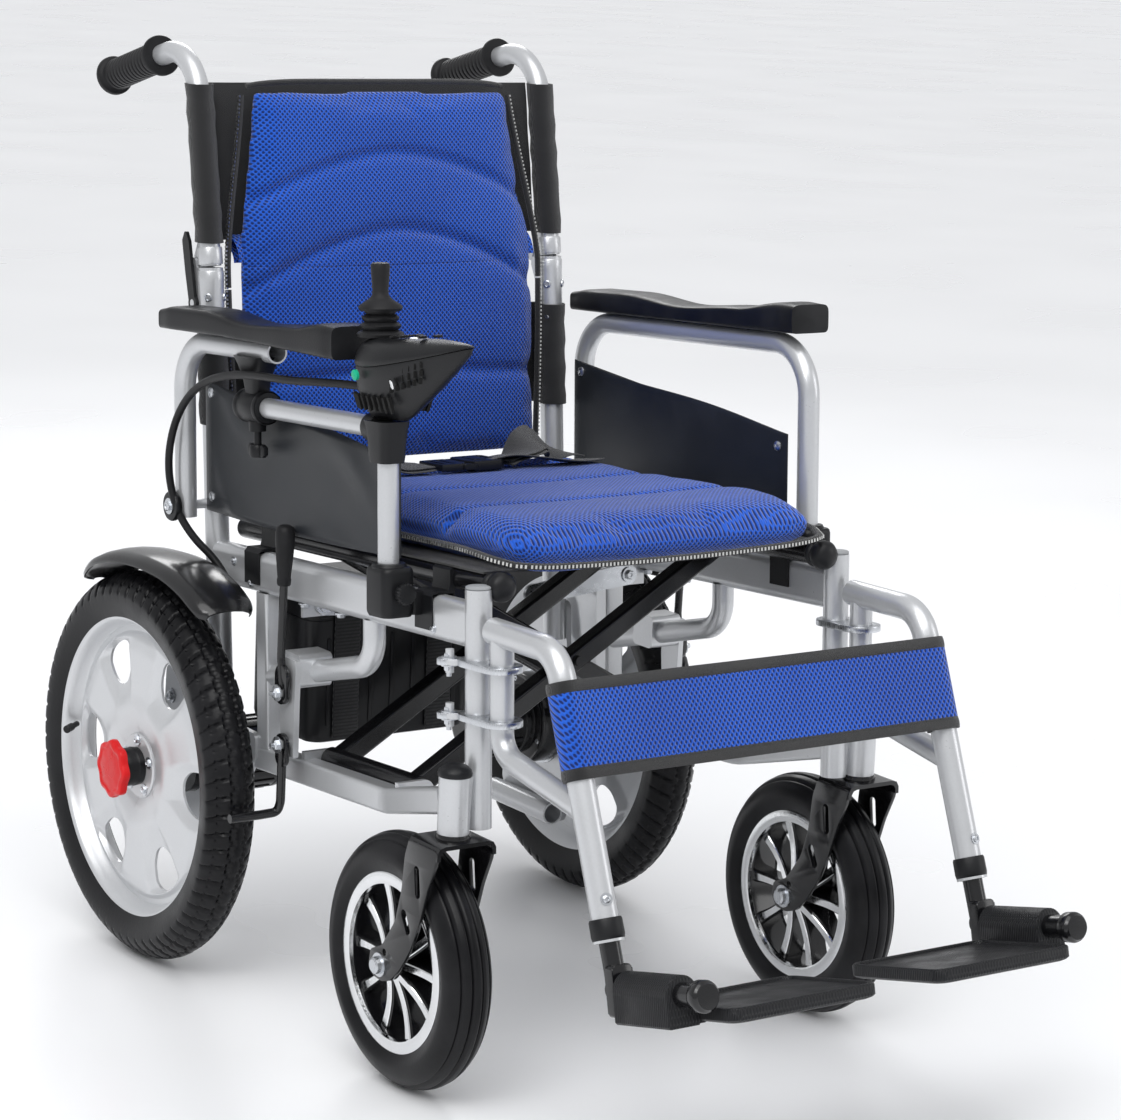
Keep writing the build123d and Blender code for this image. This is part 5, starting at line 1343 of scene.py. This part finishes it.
def armFittings():
    x, clampU, w = -armrest["x"], armrest["clampU"], armrest["controlW"]
    tee = Shape()
    tee.lathe([(-.022, .0103), (-.022, .0148), (-.020, .0162), (.020, .0162), (.022, .0148), (.022, .0103)],
              at(x, clampU, w), alongV, 48, close=True)
    rows = []
    for f in np.linspace(0, 1, 9):
        g = f ** 1.8
        width, depth = .0095 + .0080 * g, .0125 + .0130 * g
        rows.append([at(x + width * math.copysign(abs(math.cos(t)) ** .5, math.cos(t)),
                        clampU + depth * math.copysign(abs(math.sin(t)) ** .5, math.sin(t)),
                        w + .013 + (.0530 - .013 - .0035) * f)
                     for t in (math.tau * k / 32 for k in range(32))])
    tee.rings(rows)
    tee.lathe([(0, 0), (0, .0088), (.010, .0084), (.0105, 0)], at(x, clampU, w - .0145), -squareV, 32)
    tee.lathe([(-.0215, .0163), (-.0185, .0172), (-.0155, .0163)], at(x, clampU, w), alongV, 48, close=True)
    tee.lathe([(.0215, .0163), (.0185, .0172), (.0155, .0163)], at(x, clampU, w), alongV, 48, close=True)
    # the elbow that caps the front leg and takes the run's end
    u = armrest["frontU"]
    rows = []
    for f, wide, long in ((0, .0128, .0150), (.15, .0135, .0158), (.5, .0140, .0170), (.8, .0152, .0190),
                          (1, .0165, .0205)):
        rows.append([at(x + wide * math.copysign(abs(math.cos(t)) ** .45, math.cos(t)),
                        u + .002 + long * math.copysign(abs(math.sin(t)) ** .45, math.sin(t)),
                        .143 + (.1818 - .143) * f) for t in (math.tau * k / 40 for k in range(40))])
    tee.rings(rows)
    tee.lathe([(.010, .0145), (.024, .0145), (.0285, .0132), (.0295, .0112), (.0295, 0), (.010, 0)],
              at(x, u, w), alongV, 40)
    fittings = tee.make("control_fittings", "right_arm", "black_plastic", "black_plastic", 45)
    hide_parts("control_clamp")
    wing = Shape()
    spot = at(x, clampU, w - .034)
    wing.lathe([(-.010, .0038), (.012, .0038), (.012, 0), (-.010, 0)], spot, -squareV, 20)
    wing.lathe([(0, 0), (0, .0072), (.002, .0082), (.010, .0082), (.012, .0072), (.012, 0)],
               at(x, clampU, w - .038), -squareV, 28)
    for sd in (-1, 1):
        wing.prism([(.004, -.0050), (.0125, -.0062), (.0165, -.0035), (.0165, .0040), (.0125, .0062),
                    (.004, .0050)], at(x, clampU, w - .0435), alongV * sd, squareV, .0058, .0014)
    wing.make("wing_screw", "right_arm", "black_plastic", "black_plastic", 40)
    for side in (-1, 1):
        name = sideName(side)
        pivot = Shape()
        spot = at(side * .2595, armrest["pivotU"], armrest["pivotW"])
        pivot.lathe([(0, 0), (0, .0145), (.002, .0155), (.005, .0155), (.0065, .0145), (.0070, .0090), (.0070, 0)],
                    spot, (side, 0, 0), 40)
        pivot.make(f"{name}_arm_washer", f"{name}_arm", "black_plastic", "black_plastic")
        bolt = Shape()
        hexBolt(bolt, spot + Vector((side * .0066, 0, 0)), (side, 0, 0), .0048, .0045)
        bolt.make(f"{name}_arm_bolt", f"{name}_arm", "zinc_steel", "zinc_steel")
    # sockets with their latch knobs
    for side in (-1, 1):
        name = sideName(side)
        x = side * armrest["x"]
        rows = []
        for f, grow in ((0, -.003), (.06, -.0008), (.12, 0), (.9, 0), (.97, -.0012), (1, -.0035)):
            rows.append([at(x + p[0], armrest["frontU"] - .0025 + p[1], .0005 + .046 * f)
                         for p in roundRect(.0345 + grow, .0395 + grow, .009, 6)])
        block = Shape().rings(rows)
        block.prism(roundRect(.013, .030, .003), at(x - side * .0225, armrest["frontU"] - .002, .0120),
                    acrossV, alongV, .022, .0012)
        block.lathe([(0, 0), (0, .0165), (.0012, .0168), (.004, .0152), (.004, 0)],
                    at(x, armrest["frontU"] - .001, .0455), squareV, 40)
        block = block.make(f"{name}_socket", f"{name}_frame", "black_plastic", "black_plastic", 40)
        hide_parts(f"{name}_arm_socket")
        latch = Shape()
        spot = at(x, armrest["frontU"] - .0215, .024)
        latch.lathe([(0, 0), (0, .0072), (.003, .0072), (.004, .0060), (.006, .0060), (.006, 0)], spot, -alongV, 32)
        rows = []
        for out, grow in ((.0055, .92), (.0065, 1), (.0115, 1), (.0130, .9), (.0134, .7), (.0134, .02)):
            rows.append([spot - alongV * out + acrossV * (r * math.cos(t)) + squareV * (r * math.sin(t))
                         for t, r in ((math.tau * k / 72, (.0098 + .0006 * math.cos(18 * math.tau * k / 72)) * grow)
                                      for k in range(72))])
        latch.rings(rows)
        latch.make(f"{name}_socket_knob", f"{name}_frame", "black_plastic", "black_plastic", 40)


# ---- lead

lead = {"diameter": .008, "route": [
    (-.244, -.024, .652), (-.250, .002, .651), (-.258, .038, .648), (-.264, .084, .643), (-.266, .136, .640),
    (-.266, .190, .634), (-.267, .240, .622), (-.268, .282, .598), (-.269, .309, .562), (-.269, .318, .520),
    (-.264, .309, .480), (-.251, .295, .451), (-.234, .277, .430), (-.227, .260, .408), (-.224, .248, .388)]}


def controlLead():
    line = bpy.data.curves.new("control_lead", "CURVE")
    line.dimensions = "3D"
    spline = line.splines.new("NURBS")
    spline.points.add(len(lead["route"]) - 1)
    for point, place in zip(spline.points, lead["route"]):
        point.co = (*place, 1)
    spline.order_u = 3
    spline.use_endpoint_u = True
    spline.resolution_u = 12
    line.bevel_depth, line.bevel_resolution, line.use_fill_caps = lead["diameter"] / 2, 6, True
    line.materials.append(finishes["cable_jacket"])
    piece = bpy.data.objects.new("control_lead", line)
    bpy.context.collection.objects.link(piece)
    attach(piece, "right_frame")
    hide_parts("control_cable")
    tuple(lead["route"][0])


controlLead()
for side in (-1, 1):
    armPad(side)
    skirtGuard(side)
controller()
armFittings()
print("stage: armrests, controller and lead")

# ---- frame hardware

def screwHead(shape, place, axis, radius=.0035):
    """A pan head with a round socket, on a thin washer."""
    shape.lathe([(0, 0), (0, radius * 1.5), (.0006, radius * 1.5), (.0006, radius), (.0016, radius * .95),
                 (.0024, radius * .7), (.0026, radius * .42), (.0012, radius * .38), (.0012, 0)], place, axis, 24)


legs = {"hangerU": -.0393, "clampW": (-.0335, -.0835), "top": (-.304, .455), "foot": (-.396, .230),
        "tilt": 14, "footZ": .178, "strapZ": .389, "strapWidth": .088}
legRun = Vector((0, legs["foot"][0] - legs["top"][0], legs["foot"][1] - legs["top"][1])).normalized()


def legAt(side, z):
    share = (z - legs["top"][1]) / (legs["foot"][1] - legs["top"][1])
    return Vector((side * chair["half"], legs["top"][0] + share * (legs["foot"][0] - legs["top"][0]), z))


def frameHardware(side):
    name = sideName(side)
    half = side * chair["half"]
    plug = Shape()
    top = at(half, 0, .0335)
    plug.lathe([(-.004, 0), (-.004, .0106), (.0006, .0110), (.0016, .0122), (.0030, .0120), (.0038, .0106),
                (.0042, .006), (.0043, 0)], top, squareV, 40)
    plug.make(f"{name}_post_plug", f"{name}_frame", "grey_plug", "silver_paint", 50)
    clamps, bolts = Shape(), Shape()
    for w in legs["clampW"]:
        ring = []
        for k in range(40):
            t = math.pi * k / 39 + (0)
            ring.append((.0192 * math.cos(t), .0192 * math.sin(t)))
        for k in range(40):
            t = math.pi + math.pi * k / 39
            ring.append((.0192 * math.cos(t), legs["hangerU"] + .0192 * math.sin(t)))
        addPlate(clamps, [ring, circle(.01255, 40), circle(.01105, 40, 0, legs["hangerU"])],
                 at(half, 0, w), acrossV, alongV, .0062, bevel=.0008)
        tab = roundRect(.030, .016, .005)
        addPlate(clamps, [shifted(tab, side * .016, .0175, math.radians(45 * side)), circle(.003, 16, side * .0195, .0195)],
                 at(half, 0, w), acrossV, alongV, .0058, bevel=.0006)
        spot = at(half + side * .0195, .0195, w)
        hexBolt(bolts, spot + squareV * .003, squareV, .0042, .0050)
        hexBolt(bolts, spot - squareV * .003, -squareV, .0042, .0060)
        bolts.tube([spot - squareV * .014, spot + squareV * .009], .0025, 12)
    clamps.make(f"{name}_leg_clamps", f"{name}_frame", "zinc_steel", "zinc_steel", 35)
    for u, w, out in ((.060, -.010, .011), (.170, -.010, .011), (.405, -.012, .011), (.440, .006, .011)):
        screwHead(bolts, at(half + side * out, u, w), (side, 0, 0), .0032)
    for u in (.245, .315):
        hexBolt(bolts, at(half, u, -.0212), -squareV, .0040, .0052)
    for y, z in ((.318, .322), (.306, .120), (.385, .128), (.385, .262)):
        hexBolt(bolts, (side * .2232, y, z), (side, 0, 0), .0045, .0050)
    bolts.make(f"{name}_frame_bolts", f"{name}_frame", "zinc_steel", "zinc_steel", 35)
    # the back hinge's sleeve, with its hole and rivets
    sleeve = Shape()
    low = Vector((half, backLine(.640), .640))
    high = Vector((half, backLine(.716), .716))
    axis = (high - low).normalized()
    long = (high - low).length
    sleeve.lathe([(0, .0124), (0, .0128), (.0010, .0131), (long - .012, .0131), (long - .010, .0133), (long - .001, .0133),
                  (long, .0128), (long, .0124)], low, axis, 48, close=True)
    sleeve.make(f"{name}_hinge_sleeve", f"{name}_frame", "silver_paint", "silver_paint", 40)
    upper = Shape()
    start = Vector((half, backLine(.722), .722))
    upAxis = (Vector((half, backLine(.80), .80)) - start).normalized()
    upper.lathe([(0, .0112), (0, .0124), (.001, .0128), (.016, .0128), (.0175, .0122), (.0175, .0112)], start, upAxis,
                48, close=True)
    upper.make(f"{name}_hinge_collar", f"{name}_back", "silver_paint", "silver_paint", 40)
    rivets = Shape()
    for z in (.655, .690):
        p = Vector((half, backLine(z), z))
        for d in (Vector((side * .7, -.72, 0)), Vector((-side * .75, -.66, 0))):
            d = d.normalized()
            if z > .67:
                rivets.lathe([(0, .0022), (0, .0044), (.0014, .0042), (.0018, .0030), (.0006, .0022)], p + d * .0129, d,
                             28, close=True)
                rivets.lathe([(-.002, 0), (-.002, .0023), (.0004, .0023), (.0004, 0)], p + d * .0129, d, 20)
            else:
                screwHead(rivets, p + d * .0130, d, .0030)
    rivets.make(f"{name}_hinge_rivets", f"{name}_frame", "zinc_steel", "zinc_steel", 35)
    # grip
    corner = Vector((half, backLine(.946), .946))
    out = Vector((0, math.cos(math.radians(15)), -math.sin(math.radians(15))))
    profile = [(0, .0112), (0, .0205), (.0012, .0212), (.0040, .0212), (.0052, .0200), (.0062, .0168), (.0085, .0156)]
    for k in range(13):
        z = .011 + k * .0071
        profile += [(z, .0150), (z + .0008, .0163), (z + .0040, .0166), (z + .0050, .0163), (z + .0058, .0150)]
    profile += [(.1040, .0158), (.1060, .0172), (.1070, .0200), (.1085, .0206), (.1120, .0206), (.1132, .0196),
                (.1136, .0120), (.1136, .0)]
    grip = Shape().lathe(profile + [(.108, 0), (.108, .0112)], corner + out * .076, out, 56, close=True)
    grip = grip.make(f"{name}_hand_grip", f"{name}_back", "grip_rubber", "grip_rubber", 40)
    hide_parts(f"{name}_grip")
    # caps on the seat rail, and the saddles that it drops into
    rider = "scissor_b" if side < 0 else "scissor_a"
    for u, sign in ((.0085, -1),):
        knob = Shape().lathe([(-.006, 0), (-.006, .0090), (0, .0090), (0, .0125), (.0025, .0130), (.004, .0120), (.0060, .0105),
                              (.0085, .0130), (.0125, .0144), (.0175, .0142), (.0215, .0118), (.0240, .0075),
                              (.0248, .0025), (.0249, 0)], at(side * .188, u, .035), alongV * sign, 40)
        knob.make(f"{name}_rail_cap_{'front' if sign < 0 else 'rear'}", rider, "black_plastic", "black_plastic", 50)
    saddle = Shape()
    for u in (.075, .400):
        outer = [(.0125, -.012), (.0125, .020), (.0085, .0245), (-.006, .0245), (-.0075, .030), (-.0075, .043),
                 (-.0100, .0455), (-.0125, .043), (-.0130, .0235), (-.0125, .016), (-.0125, -.006), (-.0115, -.006),
                 (-.0115, .0215), (.0112, .0215), (.0112, -.012)]
        saddle.prism([(side * p[0] if side > 0 else -p[0], p[1]) for p in
                      (outer if side > 0 else outer)], at(half, u, 0), acrossV, squareV, .030, 0)
    saddle.make(f"{name}_rail_saddles", f"{name}_frame", "black_plastic", "black_plastic", 40)
    # the link bolt
    links = Shape()
    for x, w in ((.184, -.025),):
        hexBolt(links, at(side * x, .3155, w), -alongV, .0046, .0045)
    links.make(f"{name}_link_bolt", f"{name}_frame", "zinc_steel", "zinc_steel", 35)


def parkingBrake(side):
    """A rod with a tapered grip, its linkage plates and bolts, and the bent bar that presses the tyre."""
    name = sideName(side)
    x = side * .242
    pivot = at(x, .304, -.106)
    low = Vector((x, pivot.y - .003, pivot.z - .052))
    head = Vector((x, pivot.y + .002, .445))
    rodShape = Shape()
    knee = Vector((x, pivot.y + .004, pivot.z + .035))
    rodShape.tube(bent([Vector((x, pivot.y - .002, pivot.z + .004)), knee, head + Vector((0, 0, -.004))], .02, 6), .0041, 16)
    addPlate(rodShape, [shifted(pillLong(.0115, .040), 0, .008), circle(.0052, 20, 0, 0)],
             (x, pivot.y, pivot.z), (0, 1, 0), (0, 0, 1), .0052)
    lever = rodShape.make(f"{name}_brake_rod", f"{name}_brake", "black_metal", "black_metal", 35)
    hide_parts(f"{name}_brake_lever")
    grip = Shape().lathe([(0, .0040), (0, .0062), (.002, .0070), (.006, .0071), (.008, .0066), (.026, .0084), (.044, .0097),
                          (.053, .0096), (.058, .0082), (.060, .0045), (.060, 0)],
                         (x, head.y, .434), (0, 0, 1), 36)
    grip.make(f"{name}_brake_grip", f"{name}_brake", "grip_rubber", "grip_rubber", 50)
    bar = Shape()
    face = .3425 - .205 - .005
    reach = [Vector((x, low.y, low.z)), Vector((x, low.y + .001, .216)), Vector((x, face - .0085, .2035)),
             Vector((side * .262, face - .0085, .203)), Vector((side * .2958, face - .0085, .203))]
    bar.tube(bent(reach, .010, 6), .0046, 16)
    addPlate(bar, [shifted(pillLong(.0105, .034), 0, -.006), circle(.0052, 20, 0, 0)],
             (x, low.y, low.z), (0, 1, 0), (0, 0, 1), .0050)
    shoe = bar.make(f"{name}_brake_bar", f"{name}_shoe", "black_metal", "black_metal", 35)
    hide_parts(f"{name}_brake_shoe")
    nuts = Shape()
    for y, z in ((pivot.y, pivot.z), (low.y, low.z)):
        spot = Vector((side * .2475, y, z))
        hexBolt(nuts, spot, (side, 0, 0), .0048, .0048)
        nuts.tube([spot, spot + Vector((side * .0085, 0, 0))], .0026, 12)
    nuts.make(f"{name}_brake_nuts", f"{name}_frame", "zinc_steel", "zinc_steel", 35)


def legrestDetails(side):
    name = sideName(side)
    low = legAt(side, legs["foot"][1])
    collar = Shape().lathe([(-.006, .0128), (-.006, .0142), (-.004, .0150), (.009, .0152), (.0125, .0146), (.0150, .0125),
                            (.0153, .0097), (-.004, .0097)], low, legRun, 44, close=True)
    collar.make(f"{name}_leg_collar", f"{name}_leg", "black_plastic", "black_plastic", 45)
    screw = Shape()
    facing = Vector((0, -1, 0)) - legRun * Vector((0, -1, 0)).dot(legRun)
    turned = (facing.normalized() + Vector((side * .25, 0, 0))).normalized()
    screwHead(screw, low - legRun * .022 + turned * .0122, turned, .0038)
    screw.make(f"{name}_leg_screw", f"{name}_leg", "zinc_steel", "zinc_steel")
    # the foot's sleeve and pivot
    run = Vector((0, -math.cos(math.radians(legs["tilt"])), math.sin(math.radians(legs["tilt"]))))
    up = Vector((0, math.sin(math.radians(legs["tilt"])), math.cos(math.radians(legs["tilt"]))))
    origin = legAt(side, legs["footZ"])
    foot = Shape()
    foot.tube([low - legRun * .055, low + legRun * ((origin - low).length + .012)], .0094, 24)
    foot.lathe([(-.004, .008), (-.004, .0108), (.122, .0108), (.122, .0)], origin, run, 32)
    foot.lathe([(.119, .0), (.119, .0125), (.121, .0140), (.129, .0142), (.131, .0135), (.132, .0120), (.134, .0112),
                (.1345, .004), (.1345, 0)], origin, run, 40)
    foot.prism(roundRect(.022, .046, .004), origin + run * .004 - up * .001, acrossV, up, .012, .0015)
    foot = foot.make(f"{name}_foot_bar", f"{name}_foot", "black_metal", "black_metal", 40)
    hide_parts(f"{name}_foot_tube")
    tread = Shape()
    # housing round the pivot: a box below and a round top
    inward = -side
    rows = []
    for d, grow in ((.0155, -.0012), (.0165, 0), (.0955, 0), (.0965, -.0012)):
        ring = []
        for t in np.linspace(math.radians(-8), math.radians(188), 20):
            ring.append(origin + run * d + (acrossV * math.cos(t) + up * math.sin(t)) * (.0168 + grow))
        for cx, cz in ((-.0168, -.026), (-.0150, -.028), (.0150, -.028), (.0168, -.026)):
            ring.append(origin + run * d + acrossV * cx * (1 + grow * 20) + up * cz)
        rows.append(ring)
    tread.rings(rows)
    wide, deep, thick = .160, .128, .0135
    start = .016
    cx = inward * (.016 + wide / 2)
    cd = start + deep / 2

    def spot(a, b, h):
        return origin + acrossV * (cx + a) + run * (cd + b) + up * (-.026 + h)
    rim = roundRect(wide, deep, .012, 7)
    inner = [(p[0] * .955, p[1] * .945) for p in rim]
    levels = [(rim, 0, .93), (rim, .0012, .975), (rim, .003, 1.0), (rim, .0115, 1.0), (rim, .0130, .992), (rim, .0135, .98),
              (inner, .0135, 1.0), (inner, .0125, .995), (inner, .0108, .985)]
    tread.rings([[spot(p[0] * s, p[1] * s, h) for p in ring] for ring, h, s in levels])
    for b in (-.035, 0, .035):
        tread.prism(roundRect(wide * .8, .003, .001), spot(0, b, -.0006), acrossV, run, .0018, 0)
    tread.prism(roundRect(.036, .074, .004), origin + acrossV * inward * .008 + run * .058 - up * .0235, acrossV, run,
                .0070, .001)
    plateForm = tread.make(f"{name}_tread_plate", f"{name}_plate", "tread_plastic", "black_plastic", 40)
    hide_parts(f"{name}_footplate")


def strapPoints(side, s, d, w):
    """s runs round the tube and then to the chair's middle, d is out from the band's middle face."""
    r = .01455
    tube = math.pi * 1.5 * r
    front = Vector((0, -1, 0)) - legRun * Vector((0, -1, 0)).dot(legRun)
    front.normalize()
    middle = legAt(side, legs["strapZ"]) + legRun * w
    if s < tube:
        a = math.pi * 1.5 * (1 - s / tube)
        radial = front * math.cos(a) + Vector((side, 0, 0)) * math.sin(a)
        return middle + radial * (r + d)
    x = side * (chair["half"] - (s - tube))
    sag = .0028 * math.sin(math.pi * min(1, abs(s - tube) / (chair["half"] * 2)))
    ripple = .0010 * math.sin((s - tube) * 34) * (w / legs["strapWidth"])
    return Vector((x, middle.y, middle.z)) + front * (r + d + ripple - sag) 


def calfStrap(side):
    name = sideName(side)
    tube = math.pi * 1.5 * .01455
    total = tube + chair["half"]
    half = legs["strapWidth"] / 2
    stations = [tube * k / 26 for k in range(26)] + [tube + chair["half"] * k / 40 for k in range(41)]
    for part, bands, thick, finish in (("mesh", ((-half + .007, half - .007),), .0022, "strap_mesh"),
                                       ("binding", ((-half, -half + .0115), (half - .0115, half)), .0034, "binding")):
        shape = Shape()
        for low, high in bands:
            ws = np.linspace(low, high, 14 if part == "mesh" else 5)
            rows = []
            for s in stations:
                swell = [math.sin(math.pi * (k + .5) / len(ws)) ** .5 if part == "binding" else 1 for k in range(len(ws))]
                outer = [strapPoints(side, s, thick / 2 * q, w) for w, q in zip(ws, swell)]
                inner = [strapPoints(side, s, -thick / 2 * q * .9, w) for w, q in zip(ws, swell)]
                rows.append(outer + inner[::-1])
            shape.rings(rows)
        piece = shape.make(f"{name}_strap_{part}", f"{name}_leg", finish, "blue_mesh", 50)
        if part == "mesh":
            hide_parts(f"{name}_calf_strap")
        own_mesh(piece)
    stitches = Shape()
    for w in (-half + .0095, half - .0095):
        s = tube + .004
        while s < total - .003:
            p = strapPoints(side, s, .0019, w)
            stitches.prism([(-.0010, -.0003), (.0010, -.0003), (.0010, .0003), (-.0010, .0003)], p, (side, 0, 0),
                           legRun, .0004)
            s += .0034
    stitches = stitches.make(f"{name}_strap_stitches", f"{name}_leg", "thread", "blue_mesh", 60)
    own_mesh(stitches)


def beltRibbon(points, normals, wide, thick):
    """Flat webbing along a line, with the normal of its face at each point."""
    rows = []
    for k, (p, n) in enumerate(zip(points, normals)):
        p, n = Vector(p), Vector(n).normalized()
        run = (Vector(points[min(k + 1, len(points) - 1)]) - Vector(points[max(k - 1, 0)])).normalized()
        side = run.cross(n).normalized()
        n = side.cross(run)
        rows.append([p + side * a * wide / 2 + n * b * thick / 2 for a, b in
                     ((-1, -.4), (-1, .4), (-.9, 1), (-.3, 1), (.3, 1), (.9, 1), (1, .4), (1, -.4), (.9, -1), (.3, -1),
                      (-.3, -1), (-.9, -1))])
    return rows


def lapBelt():
    """Two lengths of webbing lie across the rear of the seat, with twists, and a side release buckle."""
    w0 = seat["low"] + seat["thick"] + seat["cap"] + .0025
    web = Shape()
    runs = {
        -1: [(-.186, .425, w0 - .004, 8), (-.168, .405, w0 + .004, 10), (-.135, .378, w0 + .013, 28), (-.105, .356, w0 + .010, -6),
             (-.078, .350, w0 + .006, 6), (-.046, .350, w0 + .0045, 0)],
        1: [(.046, .350, w0 + .0045, 0), (.070, .354, w0 + .008, -8), (.098, .372, w0 + .020, 30), (.122, .392, w0 + .015, 52),
            (.150, .405, w0 + .007, 16), (.182, .428, w0 - .002, 4)],
    }
    for sd, keys in runs.items():
        pts = curvePoints([at(x, u, w) for x, u, w, _ in keys], 34)
        turns = curvePoints([(a, 0, 0) for *_, a in keys], 34)
        normals = [squareV * math.cos(math.radians(t.x)) + alongV * -math.sin(math.radians(t.x)) for t in turns]
        web.rings(beltRibbon(pts, normals, .042, .0018))
        pts2 = [p + squareV * .0030 + alongV * .003 for p in (pts[14:] if sd < 0 else pts[:20])]
        web.rings(beltRibbon(pts2, (normals[14:] if sd < 0 else normals[:20]), .042, .0018))
    tail = curvePoints([at(.020, .352, w0 + .008), at(.052, .345, w0 + .013), at(.088, .335, w0 + .009),
                        at(.120, .330, w0 + .004), at(.150, .338, w0 + .0035)], 24)
    web.rings(beltRibbon(tail, [squareV + alongV * .1] * 24, .040, .0017))
    belt = web.make("belt_webbing", "seat", "webbing", "webbing", 40)
    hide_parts("lap_belt")
    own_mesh(belt)
    buckle = Shape()
    mid = at(0, .350, w0 + .0065)
    female = [(-.002, -.0235), (.030, -.0245), (.036, -.0200), (.036, .0200), (.030, .0245), (-.002, .0235), (-.004, .0170),
              (-.0055, .0120), (-.0055, -.0120), (-.004, -.0170)]
    male = [(-.040, -.0225), (-.012, -.0225), (-.010, -.0150), (-.0065, -.0135), (-.0065, .0135), (-.010, .0150),
            (-.012, .0225), (-.040, .0225)]
    addPlate(buckle, [female, shifted(roundRect(.0050, .034, .0015), .0275, 0)], mid, acrossV, alongV, .0105, bevel=.0018)
    addPlate(buckle, [male, shifted(roundRect(.0045, .032, .0015), -.0335, 0), shifted(roundRect(.0045, .032, .0015), -.0225, 0)],
             mid, acrossV, alongV, .0075, bevel=.0012)
    for sd in (-1, 1):
        buckle.prism(roundRect(.018, .0065, .0022), mid + alongV * sd * .0215 + acrossV * -.006, acrossV, alongV, .0060, .001)
    buckle.prism(roundRect(.016, .026, .003), mid + acrossV * .012 + squareV * .0052, acrossV, alongV, .0012, .0004)
    clip = buckle.make("belt_buckle", "seat", "black_plastic", "black_plastic", 35)
    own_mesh(clip)


def powerPack():
    low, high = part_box("battery_box")
    mid = (low + high) / 2
    size = high - low
    box = Shape()
    levels = [(-.5, .90, .004), (-.49, .955, .002), (-.46, .985, 0), (-.42, 1, 0), (.30, 1, 0), (.302, .985, 0), (.318, .985, 0),
              (.320, 1.0, 0), (.44, 1.0, 0), (.475, .985, 0), (.497, .955, 0), (.5, .90, 0)]
    rows = []
    for z, s, _ in levels:
        rows.append([Vector((mid.x + p[0] * s, mid.y + p[1] * s, mid.z + z * size.z))
                     for p in roundRect(size.x, size.y, .014, 6)])
    box.rings(rows)
    for k in range(7):
        x = low.x + .022 + k * (size.x - .044) / 6
        for y, d in ((low.y, -1), (high.y, 1)):
            box.prism(roundRect(.0050, .092, .002), (x, y + d * -.0004, mid.z - .016), acrossV, upV, .0030, .0006)
    case = box.make("battery_case", "battery", "black_plastic", "black_plastic", 40)
    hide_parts("battery_box")
    strap = Shape()
    for x in (mid.x - .055, mid.x + .055):
        ring = [Vector((x, low.y - .0022, low.z + .004)), Vector((x, low.y - .0022, high.z - .004)),
                Vector((x, low.y + .010, high.z + .0018)), Vector((x, high.y - .010, high.z + .0018)),
                Vector((x, high.y + .0022, high.z - .004)), Vector((x, high.y + .0022, low.z + .004))]
        pts = bent(ring, .008, 4)
        normals = []
        for p in pts:
            n = Vector((0, p.y - mid.y, p.z - mid.z))
            n = Vector((0, math.copysign(1, n.y), 0)) if abs(n.y) > size.y / 2 - .004 else upV
            normals.append(n)
        strap.rings(beltRibbon(pts, normals, .030, .0016))
    strap.make("battery_straps", "battery", "webbing", "webbing", 50)
    for side in (-1, 1):
        name = sideName(side)
        inner = side * .217
        cap = Shape()
        mid = Vector((inner, .3425, .203))
        inward = Vector((-side, 0, 0))
        cap.lathe([(0, .0), (0, .0500), (.0015, .0508), (.024, .0508), (.0262, .0500), (.0285, .0470), (.030, .0385),
                   (.0305, .0383), (.0340, .0383), (.0350, .0392), (.0400, .0392), (.0410, .0383), (.0820, .0383),
                   (.0830, .0392), (.0870, .0392), (.0880, .0380), (.0930, .0350), (.0948, .0290), (.0950, .012),
                   (.0955, .0)], mid, inward, 64)
        for k in range(18):
            t = math.tau * k / 18
            d = Vector((0, math.cos(t), math.sin(t)))
            cap.prism(roundRect(.036, .0024, .0008, 2), mid + inward * .0615 + d * .0388, acrossV, d.cross(acrossV), .0020)
        body = cap.make(f"{name}_drive", f"{name}_frame", "black_metal", "black_metal", 40)
        rings = Shape()
        rings.lathe([(-.0022, .0385), (-.0022, .0535), (-.0002, .0540), (.0008, .0535), (.0008, .0385)], mid, inward, 64,
                    close=True)
        for k in range(6):
            t = math.tau * k / 6 + .4
            hexBolt(rings, mid + inward * .0262 + Vector((0, math.cos(t), math.sin(t))) * .0445, inward, .0030, .0032)
        rings.make(f"{name}_drive_ring", f"{name}_frame", "zinc_steel", "zinc_steel", 40)


finishes["grey_plug"] = plasticFinish("grey plug", (.30, .31, .32), .42)
finishes["tread_plastic"] = treadFinish("footplate moulding", (.009, .0093, .0105))
finishes["thread"] = wovenFinish("dark thread", (.02, .02, .022), .0006, .6)

for side in (-1, 1):
    frameHardware(side)
    parkingBrake(side)
    legrestDetails(side)
    calfStrap(side)
lapBelt()
powerPack()
print("stage: hardware, legrests, belt and power")
